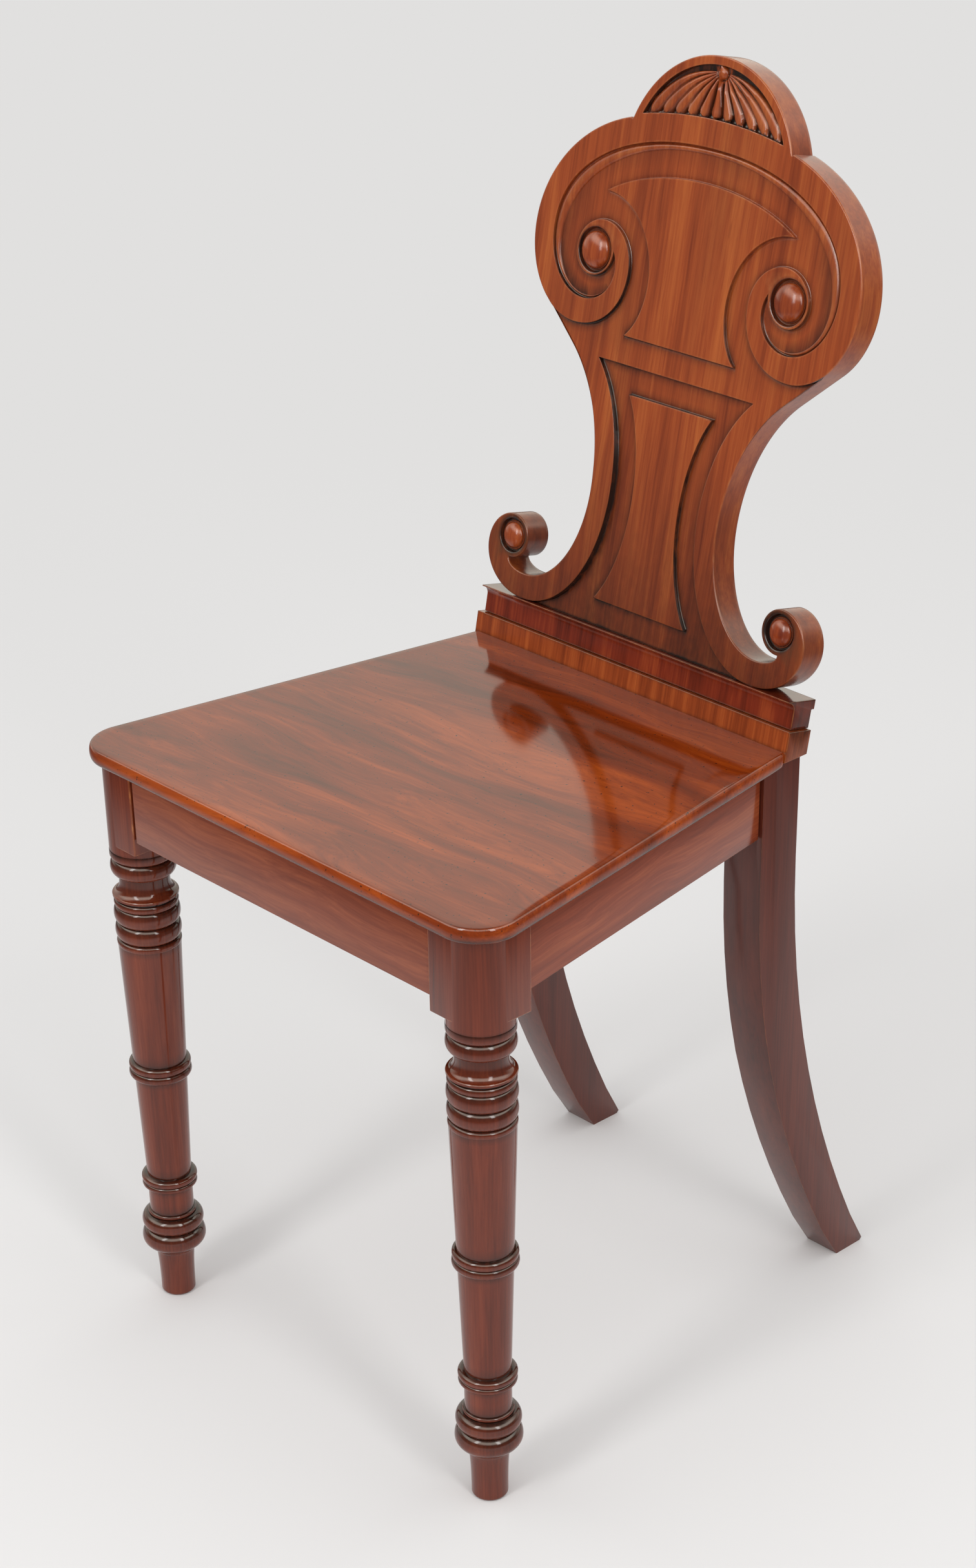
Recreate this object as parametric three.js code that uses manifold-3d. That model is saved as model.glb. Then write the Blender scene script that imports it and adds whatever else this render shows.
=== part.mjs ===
// A mahogany hall chair: a plank seat on turned front legs and swept rear legs, with a raked
// scroll back carved in relief on a moulded plinth. Millimetres, +Z up, the sitter faces -Y.
// Places along Y are first measured from the front legs' axes, and a turn of the back's own
// frame gives its rake. The finished chair stands with its origin under the middle of its box.
import * as THREE from 'three';
import { mergeVertices } from 'three/addons/utils/BufferGeometryUtils.js';
import Module from 'manifold-3d';

const wasm = await Module();
wasm.setup();

// Clearance between pieces that touch, and how far a cutter runs past the face it opens.
const fitGap = 0.3;
const overrun = 2;

// Seat board
const seatHeight = 445;
const seatThickness = 11;
const seatDepth = 296;
const seatRearHalf = 151.2;
const nosingOverhang = 7.4;
const nosingRound = 3.4;

// Front legs
const frontLegHalfSpan = 170.3;
const blockWidth = 44.6;
const blockHeight = 61;

// Rails, with tenons into the legs
const railHeight = 50;
const railThickness = 20;
const frontRailSetback = 0.8;
const sideRailSetback = { front: 6, rear: 2.5 };
const frontJointGap = 2;
const sideJointGap = 1.2;
const tenonThickness = 9;
const tenonLength = 17;
const tenonShoulder = 6;
const backRailThickness = 24;
const backRailSetback = 4;

// Rear legs: straight behind the rails, then swept back to the toe
const rearLegInset = 5.4;
const rearLegWidth = 34;
const rearLegToeWidth = 29.5;
const rearLegSetback = 14;
const rearLegDepth = 35.3;
const sweepFrontDrop = 104;
const sweepRearDrop = 85;
const toeSplay = 99.6;
const toeDepth = 30.6;
const toeRound = 2;
const taperHeight = 200;
const legTenonLength = 9;
const legTenonThickness = 12;
const legTenonWidth = 16;
const plinthBearingShare = 0.68;

// Plinth under the back. Depths on the back run backwards from its front plane, square to it.
const rake = THREE.MathUtils.degToRad(11.81);
const plinthSeat = 7;
const lowerPlinthTop = 14.7;
const lowerPlinthOverhang = 0.8;
const lowerPlinthDepth = 22;
const upperPlinthHeight = 19.7;
const upperPlinthInset = 3;
const upperPlinthSetback = 4.2;
const upperPlinthDepth = 18.1;
const plinthLip = 2.7;
const coveHeight = 6;
const coveReach = 6.2;
const filletHeight = 0.9;

// Back board: levels of the carving, as depths below the front plane
const boardThickness = 21.5;
const fieldLevel = 2.2;
const sunkLevel = 4.7;
const innerPanelLevel = 1.9;
const upperPanelLevel = 0.3;
const fanLevel = 4.2;
const boardTenonHalf = 55;
const boardTenonReach = 8;

// Outline of the back, as half widths and heights above the seat along the rake. The crest, the
// scrolls and the upper panel are placed from the lobe's widest point.
const lobeHalf = 147;
const lobeHeight = 289;
const lobeRise = 87.1;
const lobeShoulder = 40;
const crestRadius = 75;
const crestRise = 57;
const waistHalf = 59.5;
const waistHeight = 128;
const waistFlare = 38.8;
const waistFlareShare = 0.62;
const neckDrop = 63;
const neckStep = 7;
const neckFade = 12;

// Curled feet, placed from the middle of the curl
const curlHead = { x: 128, height: 76, radius: 15.5 };
const curlFoot = { x: -16 };
const curlReach = { x: 23, rise: -9 };
const curlThroat = { x: -16.5, rise: -23.7 };
const curlNotchAngle = THREE.MathUtils.degToRad(275);

// Turned bosses
const upperBoss = { radius: 13.1, rise: 5.6, level: 3.2 };
const upperBossInset = 59;
const upperBossDrop = 6.3;
const lowerBoss = { radius: 10.3, rise: 4.6, level: 3.4 };
const bossGroove = 2;
const bossRim = 1.6;
const spigotRadius = 4;
const spigotLength = 7;

// Scroll carving. The volute's places are measured from the middle of its boss.
const scrollBorder = 18;
const scrollRise = 1.5;
const scrollTopRise = 75;
const scrollFullness = 0.93;
const scrollFoot = { x: 5, rise: -32.9 };
const scrollReturn = { x: -21, rise: -9.7 };
const scrollTip = { x: -17.6, rise: 1.8 };
const scrollTipShare = 0.473;
const voluteInner = { x: 1, rise: -16.7 };
const voluteTurn = { x: 17, rise: -0.7 };
const voluteTop = { x: -6, rise: 20.9 };
const voluteSide = { x: -33.6, rise: -8.2 };
const voluteFoot = { x: 10, rise: -50 };
const voluteFullness = 0.95;
const rollTop = 3.3;
const rollWide = 8;
const rollTip = 0.4;
const rollGroove = 1.2;
const rollHeight = 1.7;

// Raised and sunk panels
const panelDrop = 22.2;
const panelBorder = 21;
const panelEndRise = 2;
const panelHornInset = 3.5;
const panelWaist = { x: -18.8, rise: -4.5 };
const panelFootRise = 6.8;
const panelFootFlare = 15.2;
const panelFootShare = 0.693;
const sunkFootInset = 3;
const sunkBand = 18.5;
const sunkWaistRise = 2;
const sunkTopDrop = 12;
const sunkTopFlare = 30.4;
const sunkTopShare = 0.635;
const innerBand = 19.4;
const innerInset = 18.3;
const innerTopFlare = 17;
const innerTopShare = 0.59;
const innerFootFlare = 22.1;
const innerFootShare = 0.604;

// Fan of reeds in the crest
const fanBorder = 5.8;
const fanFootRise = 36;
const fanTipRise = 30;
const fanReeds = 11;
const reedGap = 0.8;
const reedRise = 3.5;
const reedMiddleShare = 0.5;
const reedBendShare = 0.62;
const reedLiftShare = 0.5;
const reedMeetingShare = 0.4;
const reedTallShare = 1.5;
const budRadius = 4.4;

// Screws, dowels and glue blocks
const screwShank = 2.2;
const screwHead = 4.2;
const headHeight = 2.4;
const screwTip = 3.3;
const seatScrewLength = 28;
const seatScrewBite = 7;
const pocketRadius = 5;
const pocketTilt = THREE.MathUtils.degToRad(25);
const pocketInset = 6.5;
const frontScrewSpan = 80;
const sideScrewShares = [0.3, 0.75];
const backScrewSpan = 80;
const backScrewLength = 44;
const backScrewDepth = 24;
const dowelRadius = 4;
const dowelLength = 22;
const dowelSpan = 112;
const blockReach = 40;
const glueBlockHeight = 38;

// Facets
const legFacets = 22;
const bossFacets = 22;
const boreFacets = 12;

const seatUnderside = seatHeight - seatThickness;
const railTop = seatUnderside - fitGap;
const railFoot = seatUnderside - railHeight;
const blockHalf = blockWidth / 2;
const blockFoot = seatUnderside - blockHeight;
const plinthFoot = seatHeight - plinthSeat;
const lowerPlinthHalf = seatRearHalf + lowerPlinthOverhang;
const upperPlinthHalf = lowerPlinthHalf - upperPlinthInset;
const upperPlinthTop = lowerPlinthTop + upperPlinthHeight;
const upperPlinthRear = upperPlinthSetback + upperPlinthDepth;
const rearLegHalfSpan = seatRearHalf - rearLegInset;
const rearLegFront = seatDepth - rearLegSetback;
const toeFront = rearLegFront + toeSplay;
const toeRear = toeFront + toeDepth;

const finishes = {
  seat: new THREE.MeshStandardMaterial({ color: '#8a4a2a', roughness: 0.28, metalness: 0 }),
  back: new THREE.MeshStandardMaterial({ color: '#93461f', roughness: 0.34, metalness: 0 }),
  plinth: new THREE.MeshStandardMaterial({ color: '#7a3018', roughness: 0.34, metalness: 0 }),
  frame: new THREE.MeshStandardMaterial({ color: '#7c4a37', roughness: 0.36, metalness: 0 }),
  legs: new THREE.MeshStandardMaterial({ color: '#6b3a30', roughness: 0.3, metalness: 0 }),
  deal: new THREE.MeshStandardMaterial({ color: '#a9855a', roughness: 0.8, metalness: 0 }),
  iron: new THREE.MeshStandardMaterial({ color: '#4b4642', roughness: 0.55, metalness: 0.85 }),
};

// Boolean joins and cuts

function solidFrom(geometry) {
  const bare = geometry.index ? geometry.toNonIndexed() : geometry.clone();
  bare.deleteAttribute('normal');
  bare.deleteAttribute('uv');
  const merged = mergeVertices(bare, 1e-4);
  return new wasm.Manifold(
    new wasm.Mesh({
      numProp: 3,
      vertProperties: new Float32Array(merged.attributes.position.array),
      triVerts: new Uint32Array(merged.index.array),
    }),
  );
}

function geometryFrom(solid) {
  const mesh = solid.getMesh();
  const geometry = new THREE.BufferGeometry();
  geometry.setAttribute('position', new THREE.Float32BufferAttribute(mesh.vertProperties, 3));
  geometry.setIndex(new THREE.Uint32BufferAttribute(mesh.triVerts, 1));
  geometry.computeVertexNormals();
  return geometry;
}

function carve(base, joins, cuts) {
  let solid = solidFrom(base);
  for (const geometry of joins) {
    solid = solid.add(solidFrom(geometry));
  }
  for (const geometry of cuts) {
    solid = solid.subtract(solidFrom(geometry));
  }
  return geometryFrom(solid);
}

// Plain solids

function slab(x, y, z) {
  const box = new THREE.BoxGeometry(x[1] - x[0], y[1] - y[0], z[1] - z[0]);
  return box.translate((x[0] + x[1]) / 2, (y[0] + y[1]) / 2, (z[0] + z[1]) / 2);
}

function prism(shape, low, high) {
  const geometry = new THREE.ExtrudeGeometry(shape, { depth: high - low, bevelEnabled: false });
  return geometry.translate(0, 0, low);
}

// A section drawn in Y and Z, drawn out from one X to another.
function lengthwise(points, left, right) {
  const shape = new THREE.Shape(points.map(([y, z]) => new THREE.Vector2(y, z)));
  const turn = new THREE.Matrix4().makeBasis(
    new THREE.Vector3(0, 1, 0),
    new THREE.Vector3(0, 0, 1),
    new THREE.Vector3(1, 0, 0),
  );
  return prism(shape, left, right).applyMatrix4(turn);
}

// A bore or a pin along +Z.
function rod(radius, low, high) {
  const cylinder = new THREE.CylinderGeometry(radius, radius, high - low, boreFacets);
  return cylinder.rotateX(Math.PI / 2).translate(0, 0, (low + high) / 2);
}

// A turned solid on the Z axis, from pairs of radius and height.
function turned(profile, facets) {
  const points = profile.map(([radius, height]) => new THREE.Vector2(radius, height));
  return new THREE.LatheGeometry(points, facets).rotateX(Math.PI / 2);
}

// Curves

// A quarter of an ellipse between two places, leaving the first one level or upright. Only a
// share of it may be drawn, and a fullness below one swells it beyond the ellipse.
function quarter(from, to, leavesLevel, steps, { share = 1, fullness = 1 } = {}) {
  const points = [];
  for (let i = 0; i <= steps; i += 1) {
    const angle = (share * Math.PI * i) / steps / 2;
    const slow = 1 - Math.cos(angle) ** fullness;
    const fast = Math.sin(angle) ** fullness;
    const x = from.x + (to.x - from.x) * (leavesLevel ? fast : slow);
    const y = from.y + (to.y - from.y) * (leavesLevel ? slow : fast);
    points.push(new THREE.Vector2(x, y));
  }
  return points;
}

// The first share of an ellipse's quarter that leaves one place upright and passes another.
function cutQuarter(from, to, share, steps) {
  const angle = (share * Math.PI) / 2;
  const across = (to.x - from.x) / (1 - Math.cos(angle));
  const up = (to.y - from.y) / Math.sin(angle);
  return quarter(from, place(from.x + across, from.y + up), false, steps, { share });
}

function place(x, height) {
  return new THREE.Vector2(x, height);
}

// A place measured from another.
function aside(from, { x, rise = 0 }) {
  return new THREE.Vector2(from.x + x, from.y + rise);
}

function circleArc(centre, radius, start, end, steps) {
  const curve = new THREE.EllipseCurve(centre.x, centre.y, radius, radius, start, end);
  return curve.getPoints(steps);
}

function pairs(points) {
  return points.map((point) => [point.x, point.y]);
}

// Joins runs of points into one, leaving out the places where two runs meet.
function chain(...runs) {
  const points = [];
  for (const run of runs) {
    for (const point of run) {
      if (points.length === 0 || points.at(-1).distanceTo(point) > fitGap / 10) {
        points.push(point);
      }
    }
  }
  return points;
}

// A shape from the points of its right half. A level edge crosses the middle line with no point.
function mirrored(half) {
  const inner = half.filter((point) => point.x > fitGap / 10);
  const left = inner.map((point) => new THREE.Vector2(-point.x, point.y)).reverse();
  return new THREE.Shape([...half, ...left]);
}

// Points set off square to a run of points, to its right as it is followed.
function offset(points, distanceAt) {
  return points.map((point, i) => {
    const before = points[Math.max(i - 1, 0)];
    const after = points[Math.min(i + 1, points.length - 1)];
    const along = after.clone().sub(before).normalize();
    const distance = distanceAt(i / (points.length - 1));
    return new THREE.Vector2(point.x + along.y * distance, point.y - along.x * distance);
  });
}

// Lines of the back

const boardFoot = upperPlinthTop + fitGap;
const crestCentre = lobeHeight + crestRise;
const neckTop = lobeHeight - neckDrop;
const curlMiddle = place(curlHead.x, curlHead.height);
const curlEdge = aside(curlMiddle, curlReach);
const volute = place(lobeHalf - upperBossInset, lobeHeight - upperBossDrop);
const waist = place(waistHalf, waistHeight);

// The right half of the outline below the lobe, from the foot up to the flare of the waist.
function waistRun() {
  const round = circleArc(curlMiddle, curlHead.radius, Math.PI / 2, curlNotchAngle, 14);
  const throat = aside(curlMiddle, curlThroat);
  const flare = place(waist.x + waistFlare, neckTop - neckStep);
  return chain(
    quarter(place(curlMiddle.x + curlFoot.x, boardFoot), curlEdge, true, 8),
    quarter(curlEdge, round[0], false, 8),
    round,
    quarter(round.at(-1), throat, false, 5),
    quarter(throat, waist, true, 12),
    cutQuarter(waist, flare, waistFlareShare, 8),
  );
}

// The underside of the lobe is free as far as the waist and runs on as the volute's foot.
const lobeSteps = 10;
const freeSteps = 6;

function lobeUnderside() {
  return quarter(place(lobeHalf, lobeHeight), aside(volute, voluteFoot), false, lobeSteps);
}

// From under the lobe round to the top of the crest.
function lobeRun() {
  const side = place(lobeHalf, lobeHeight);
  const shoulder = place(lobeShoulder, lobeHeight + lobeRise);
  const crest = place(0, crestCentre);
  // The lobe's upper curve stops where it meets the crest's circle.
  const fine = quarter(side, shoulder, false, 400);
  const meeting = fine.findIndex((point) => point.distanceTo(crest) < crestRadius);
  const start = Math.atan2(fine[meeting].y - crest.y, fine[meeting].x - crest.x);
  return chain(
    lobeUnderside().slice(0, freeSteps + 1).reverse(),
    quarter(side, shoulder, false, 12, { share: meeting / fine.length }),
    circleArc(crest, crestRadius, start, Math.PI / 2, 16),
  );
}

// The step from the scroll's face down to its roll, from the middle of the top inwards.
function scrollRun() {
  const top = place(0, lobeHeight + scrollTopRise);
  const side = place(lobeHalf - scrollBorder, lobeHeight + scrollRise);
  const foot = aside(volute, scrollFoot);
  const inside = aside(volute, scrollReturn);
  return chain(
    quarter(top, side, true, 16, { fullness: scrollFullness }),
    quarter(side, foot, false, 8),
    quarter(foot, inside, true, 7),
    cutQuarter(inside, aside(volute, scrollTip), scrollTipShare, 3),
  );
}

// The volute's outer wall, from the scroll's tip outwards to the edge of the board.
function voluteRun() {
  const turns = [voluteInner, voluteTurn, voluteTop, voluteSide, voluteFoot];
  const [inner, turn, top, side, foot] = turns.map((size) => aside(volute, size));
  return chain(
    quarter(aside(volute, scrollTip), inner, false, 5),
    quarter(inner, turn, true, 5),
    quarter(turn, top, false, 6),
    quarter(top, side, true, 8),
    quarter(side, foot, false, 9, { fullness: voluteFullness }),
    lobeUnderside().slice(freeSteps).reverse(),
  );
}

// Carving of the back, in the back's own frame: X, height along the rake, and Z to the front

function boardOutline() {
  return mirrored(chain(waistRun(), lobeRun()));
}

const beyond = Math.max(curlEdge.x, lobeHalf) + overrun;

// The lowered ground inside the scrolls, which runs out past the edges below the volutes.
function scrollGround() {
  const edge = voluteRun().at(-1);
  const half = chain(scrollRun(), voluteRun(), [place(beyond, edge.y), place(beyond, neckTop)]);
  return prism(mirrored(half), -fieldLevel, overrun);
}

// Below the neck the ground slopes up to the front plane.
function neckSlope() {
  const section = [
    [-overrun, waist.y + neckFade],
    [0, waist.y + neckFade],
    [fieldLevel, neckTop],
    [fieldLevel, neckTop + overrun],
    [-overrun, neckTop + overrun],
  ];
  return depthSection(section, beyond);
}

// The rounded roll that follows the scroll's inner edge and tapers into the volute.
function scrollRoll() {
  const edge = scrollRun().slice(0, -1);
  const least = (share) => (share < 0.5 ? rollTop : rollTip);
  const width = (share) => least(share) + (rollWide - least(share)) * Math.sin(Math.PI * share) ** 3;
  const outer = offset(edge, () => rollGroove);
  const inner = offset(edge, (share) => rollGroove + width(share));
  outer[0].x = 0;
  inner[0].x = 0;
  const sectionShares = [
    { share: 0, rise: -overrun },
    { share: 0, rise: rollHeight / 2 },
    { share: 0.25, rise: rollHeight },
    { share: 0.75, rise: rollHeight },
    { share: 1, rise: rollHeight / 3 },
    { share: 1, rise: -overrun },
  ];
  const rings = outer.map((point, i) =>
    sectionShares.map(({ share, rise }) => {
      const across = point.clone().lerp(inner[i], share);
      return new THREE.Vector3(across.x, across.y, rise - fieldLevel);
    }),
  );
  const left = rings.slice(1).map((ring) => ring.map((p) => new THREE.Vector3(-p.x, p.y, p.z)));
  return loft([...left.reverse(), ...rings]);
}

// A closed solid through rings of equally many points, with flat ends.
function loft(rings) {
  const size = rings[0].length;
  const index = [];
  const corner = (ring, k) => ring * size + (k % size);
  for (let i = 0; i + 1 < rings.length; i += 1) {
    for (let k = 0; k < size; k += 1) {
      index.push(corner(i, k), corner(i, k + 1), corner(i + 1, k + 1));
      index.push(corner(i, k), corner(i + 1, k + 1), corner(i + 1, k));
    }
  }
  for (let k = 1; k + 1 < size; k += 1) {
    index.push(corner(0, 0), corner(0, k + 1), corner(0, k));
    index.push(corner(rings.length - 1, 0), corner(rings.length - 1, k), corner(rings.length - 1, k + 1));
  }
  const geometry = new THREE.BufferGeometry().setFromPoints(rings.flat());
  geometry.setIndex(index);
  return geometry;
}

function upperPanel() {
  const middle = place(0, lobeHeight + scrollTopRise - panelDrop);
  const end = place(lobeHalf - scrollBorder - panelBorder, lobeHeight + panelEndRise);
  const hornShare = (volute.x - panelHornInset) / end.x;
  const horn = place(end.x * hornShare, end.y + (middle.y - end.y) * Math.sqrt(1 - hornShare ** 2));
  const narrow = aside(aside(volute, voluteSide), panelWaist);
  const half = chain(
    quarter(middle, end, true, 14).filter((point) => point.x < horn.x - fitGap),
    quarter(horn, narrow, true, 12),
    cutQuarter(narrow, place(narrow.x + panelFootFlare, neckTop + panelFootRise), panelFootShare, 6),
  );
  return prism(mirrored(half.reverse()), -fieldLevel - overrun, -upperPanelLevel);
}

const sunkWaist = place(waist.x - sunkBand, waist.y + sunkWaistRise);
const sunkTop = neckTop - sunkTopDrop;

// The sunk field of the waist, between two bands that follow the waist's edges.
function sunkField() {
  const foot = curlMiddle.x + curlFoot.x - sunkFootInset;
  const half = chain(
    [place(foot, boardFoot - overrun)],
    quarter(place(foot, boardFoot), sunkWaist, true, 12),
    cutQuarter(sunkWaist, place(sunkWaist.x + sunkTopFlare, sunkTop), sunkTopShare, 8),
  );
  return prism(mirrored(half), -sunkLevel, overrun);
}

function innerPanel() {
  const narrow = place(sunkWaist.x - innerBand, waist.y);
  const foot = place(narrow.x + innerFootFlare, boardFoot + innerInset);
  const top = place(narrow.x + innerTopFlare, sunkTop - innerInset);
  const half = chain(
    cutQuarter(narrow, foot, innerFootShare, 7).reverse(),
    cutQuarter(narrow, top, innerTopShare, 6),
  );
  return prism(mirrored(half), -sunkLevel - overrun, -innerPanelLevel);
}

// Fan of reeds

const fanRadius = crestRadius - fanBorder;
const fanHalf = Math.sqrt(fanRadius ** 2 - fanTipRise ** 2);
const reedPitch = (2 * fanHalf) / fanReeds;
const reedHalf = reedPitch / 2 - reedGap;
const budHeight = crestCentre + fanRadius - budRadius;

// Height of the line on which the reeds end.
function fanLine(x) {
  const sag = fanFootRise - fanTipRise;
  const radius = (fanHalf ** 2 + sag ** 2) / sag / 2;
  return crestCentre + fanFootRise - radius + Math.sqrt(radius ** 2 - x ** 2);
}

function fanRecess() {
  const start = Math.atan2(fanTipRise, fanHalf);
  const footShares = [0, 0.2, 0.4, 0.6, 0.8];
  const half = chain(
    footShares.map((share) => place(fanHalf * share, fanLine(fanHalf * share))),
    circleArc(place(0, crestCentre), fanRadius, start, Math.PI / 2, 14),
  );
  return prism(mirrored(half), -fanLevel, overrun);
}

// One reed: half round, widest at its foot, bending up under the arch to the bud.
function reed(number) {
  const x = (number - (fanReeds - 1) / 2) * reedPitch;
  const foot = place(x, fanLine(x) + fitGap);
  const head = place(Math.sign(x) * budRadius * reedMeetingShare, budHeight);
  const climb = head.y - foot.y;
  const lift = (Math.abs(x) / fanRadius) ** 2 * climb * reedLiftShare;
  const bend = place(x * reedBendShare, foot.y + climb * reedMiddleShare + lift);
  const path = new THREE.QuadraticBezierCurve(foot, bend, head);
  const widthShares = [
    { along: 0, width: 0.36 },
    { along: 0.04, width: 0.8 },
    { along: 0.11, width: 1 },
    { along: 0.3, width: 0.88 },
    { along: 0.5, width: 0.68 },
    { along: 0.7, width: 0.46 },
    { along: 0.87, width: 0.28 },
    { along: 1, width: 0.16 },
  ];
  const turnShares = [0, 0.25, 0.5, 0.75, 1];
  const low = -fanLevel - overrun;
  const rings = widthShares.map(({ along, width }) => {
    const centre = path.getPoint(along);
    const heading = path.getTangent(along);
    const half = reedHalf * width;
    const tall = reedRise * Math.min(1, width * reedTallShare);
    const section = turnShares.map((share) => {
      const across = Math.cos(Math.PI * share) * half;
      const up = Math.sin(Math.PI * share) * tall - fanLevel;
      return new THREE.Vector3(centre.x + heading.y * across, centre.y - heading.x * across, up);
    });
    const left = section.at(-1);
    const right = section[0];
    section.push(new THREE.Vector3(left.x, left.y, low));
    section.push(new THREE.Vector3(right.x, right.y, low));
    return section.reverse();
  });
  return loft(rings);
}

function bud() {
  const sphere = new THREE.SphereGeometry(budRadius, 10, 6);
  return sphere.scale(1, 1, reedRise / budRadius).translate(0, budHeight, -fanLevel);
}

// Bosses

function bossPlaces() {
  return [
    { name: 'upper_left_boss', x: -volute.x, height: volute.y, boss: upperBoss },
    { name: 'upper_right_boss', x: volute.x, height: volute.y, boss: upperBoss },
    { name: 'lower_left_boss', x: -curlMiddle.x, height: curlMiddle.y, boss: lowerBoss },
    { name: 'lower_right_boss', x: curlMiddle.x, height: curlMiddle.y, boss: lowerBoss },
  ];
}

// A button with a shallow dome, standing on its own flange, with a spigot behind.
function bossGeometry(boss) {
  const dome = circleArc(place(0, 0), 1, 0, Math.PI / 2, 6).map((p) => [
    boss.radius * p.x,
    bossRim + (boss.rise - bossRim + fitGap) * p.y,
  ]);
  dome[dome.length - 1][0] = 0;
  const profile = [
    [0, -spigotLength],
    [spigotRadius, -spigotLength],
    [spigotRadius, 0],
    [boss.radius, 0],
    ...dome,
  ];
  return turned(profile, bossFacets);
}

function bossSeat({ x, height, boss }) {
  const recess = turned(
    [
      [0, -boss.level],
      [boss.radius + bossGroove, -boss.level],
      [boss.radius + bossGroove, overrun],
      [0, overrun],
    ],
    bossFacets,
  );
  const bore = rod(spigotRadius + fitGap, -boss.level - spigotLength - fitGap, 0);
  return [recess, bore].map((cut) => cut.translate(x, height, 0));
}

function dowelAt(side, clearance) {
  const pin = rod(dowelRadius + clearance, -dowelLength / 2 - clearance, dowelLength / 2 + clearance);
  return pin.rotateX(Math.PI / 2).translate(side * dowelSpan, upperPlinthTop, -boardThickness / 2);
}

// The board's tongue passes down through the upper plinth into the lower one.
function boardTenon(clearance) {
  const low = lowerPlinthTop - boardTenonReach - clearance;
  const middle = -boardThickness / 2;
  const half = tenonThickness / 2 + clearance;
  return slab(
    [-boardTenonHalf - clearance, boardTenonHalf + clearance],
    [low, boardFoot + overrun],
    [middle - half, middle + half],
  );
}

function backBoard() {
  const body = prism(boardOutline(), -boardThickness, 0);
  const bores = [dowelAt(-1, fitGap), dowelAt(1, fitGap), ...bossPlaces().flatMap(bossSeat)];
  const lowered = carve(body, [], [scrollGround(), neckSlope(), fanRecess(), sunkField(), ...bores]);
  const reeds = Array.from({ length: fanReeds }, (_, i) => reed(i));
  return carve(lowered, [upperPanel(), innerPanel(), scrollRoll(), ...reeds, bud(), boardTenon(0)], []);
}

// Plinths, drawn as sections of depth and height in the back's own frame

// Height along the rake of the level plinth foot at a depth behind the front plane.
function plinthFootAt(depth) {
  return (plinthFoot - seatHeight + depth * Math.sin(rake)) / Math.cos(rake);
}

function depthSection(points, half) {
  const section = points.map(([depth, height]) => new THREE.Vector2(depth, height));
  const turn = new THREE.Matrix4().makeBasis(
    new THREE.Vector3(0, 0, -1),
    new THREE.Vector3(0, 1, 0),
    new THREE.Vector3(1, 0, 0),
  );
  return prism(new THREE.Shape(section), -half, half).applyMatrix4(turn);
}

function lowerPlinth(frame) {
  const section = [
    [0, plinthFootAt(0)],
    [lowerPlinthDepth, plinthFootAt(lowerPlinthDepth)],
    [lowerPlinthDepth, lowerPlinthTop - fitGap],
    [0, lowerPlinthTop - fitGap],
  ];
  const inverse = frame.clone().invert();
  const worldCuts = [
    rearLegTenon(-1, fitGap),
    rearLegTenon(1, fitGap),
    ...backScrewPlaces().map((at) => rod(screwShank + fitGap, 0, backScrewLength + fitGap).applyMatrix4(at)),
  ];
  const cuts = worldCuts.map((cut) => cut.applyMatrix4(inverse));
  return carve(depthSection(section, lowerPlinthHalf), [], [...cuts, boardTenon(fitGap)]);
}

function upperPlinth() {
  const coveFoot = upperPlinthTop - filletHeight - coveHeight;
  const front = upperPlinthSetback - coveReach;
  const cove = quarter(place(upperPlinthSetback, coveFoot), place(front, coveFoot + coveHeight), false, 5);
  const section = [
    [upperPlinthSetback, lowerPlinthTop],
    ...pairs(cove),
    [front, upperPlinthTop],
    [upperPlinthRear + plinthLip, upperPlinthTop],
    [upperPlinthRear + plinthLip, coveFoot],
    [upperPlinthRear, coveFoot],
    [upperPlinthRear, lowerPlinthTop],
  ].reverse();
  const cuts = [boardTenon(fitGap), dowelAt(-1, fitGap), dowelAt(1, fitGap)];
  return carve(depthSection(section, upperPlinthHalf), [], cuts);
}

// Front legs

// The turning below the block. The lower mouldings stand one on another from the floor up, and
// the upper ones hang one under another from the block down.
const footRadius = 12.5;
const footRound = 2.4;
const footHeight = 38;
const footFlare = 2.2;
const bulbGroove = 18.2;
const ankleRadius = 16;
const kneeRadius = 22;
const neckRadius = 17.5;
const neckHeight = 5;

function standing({ on, gap = 0, height, radius }) {
  return { radius, low: on + gap, high: on + gap + height };
}

function hanging({ under, gap = 0, height, radius }) {
  return { radius, low: under - gap - height, high: under - gap };
}

const lowerBulb = standing({ on: footHeight, gap: 3.3, height: 16.4, radius: 23.2 });
const upperBulb = standing({ on: lowerBulb.high, height: 12.5, radius: 22.4 });
const ankleRing = standing({ on: upperBulb.high, height: 3, radius: 17.6 });
const lowerRingFoot = standing({ on: ankleRing.high, gap: 20.2, height: 4.8, radius: 19.9 });
const lowerRingHead = standing({ on: lowerRingFoot.high, height: 6, radius: 20.1 });
const middleRingFoot = standing({ on: lowerRingHead.high, gap: 82.2, height: 6.9, radius: 22.3 });
const middleRingHead = standing({ on: middleRingFoot.high, height: 6.3, radius: 22 });

const capRing = hanging({ under: blockFoot, gap: 6, height: 7.2, radius: 22.6 });
const vase = hanging({ under: capRing.low, height: 12.8, radius: 22.8 });
const disc = hanging({ under: vase.low, gap: 13.9, height: 2.1, radius: 22.9 });
const discReed = hanging({ under: disc.low, gap: 1.7, height: 5.6, radius: 22.4 });
const upperReed = hanging({ under: discReed.low, height: 12.7, radius: 23.1 });
const lowerReed = hanging({ under: upperReed.low, height: 12.7, radius: 23 });
const shaftCollar = hanging({ under: lowerReed.low, height: 4.8, radius: 22.5 });
const grooveShare = 0.86;
const ringGrooveShare = 0.925;

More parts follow.
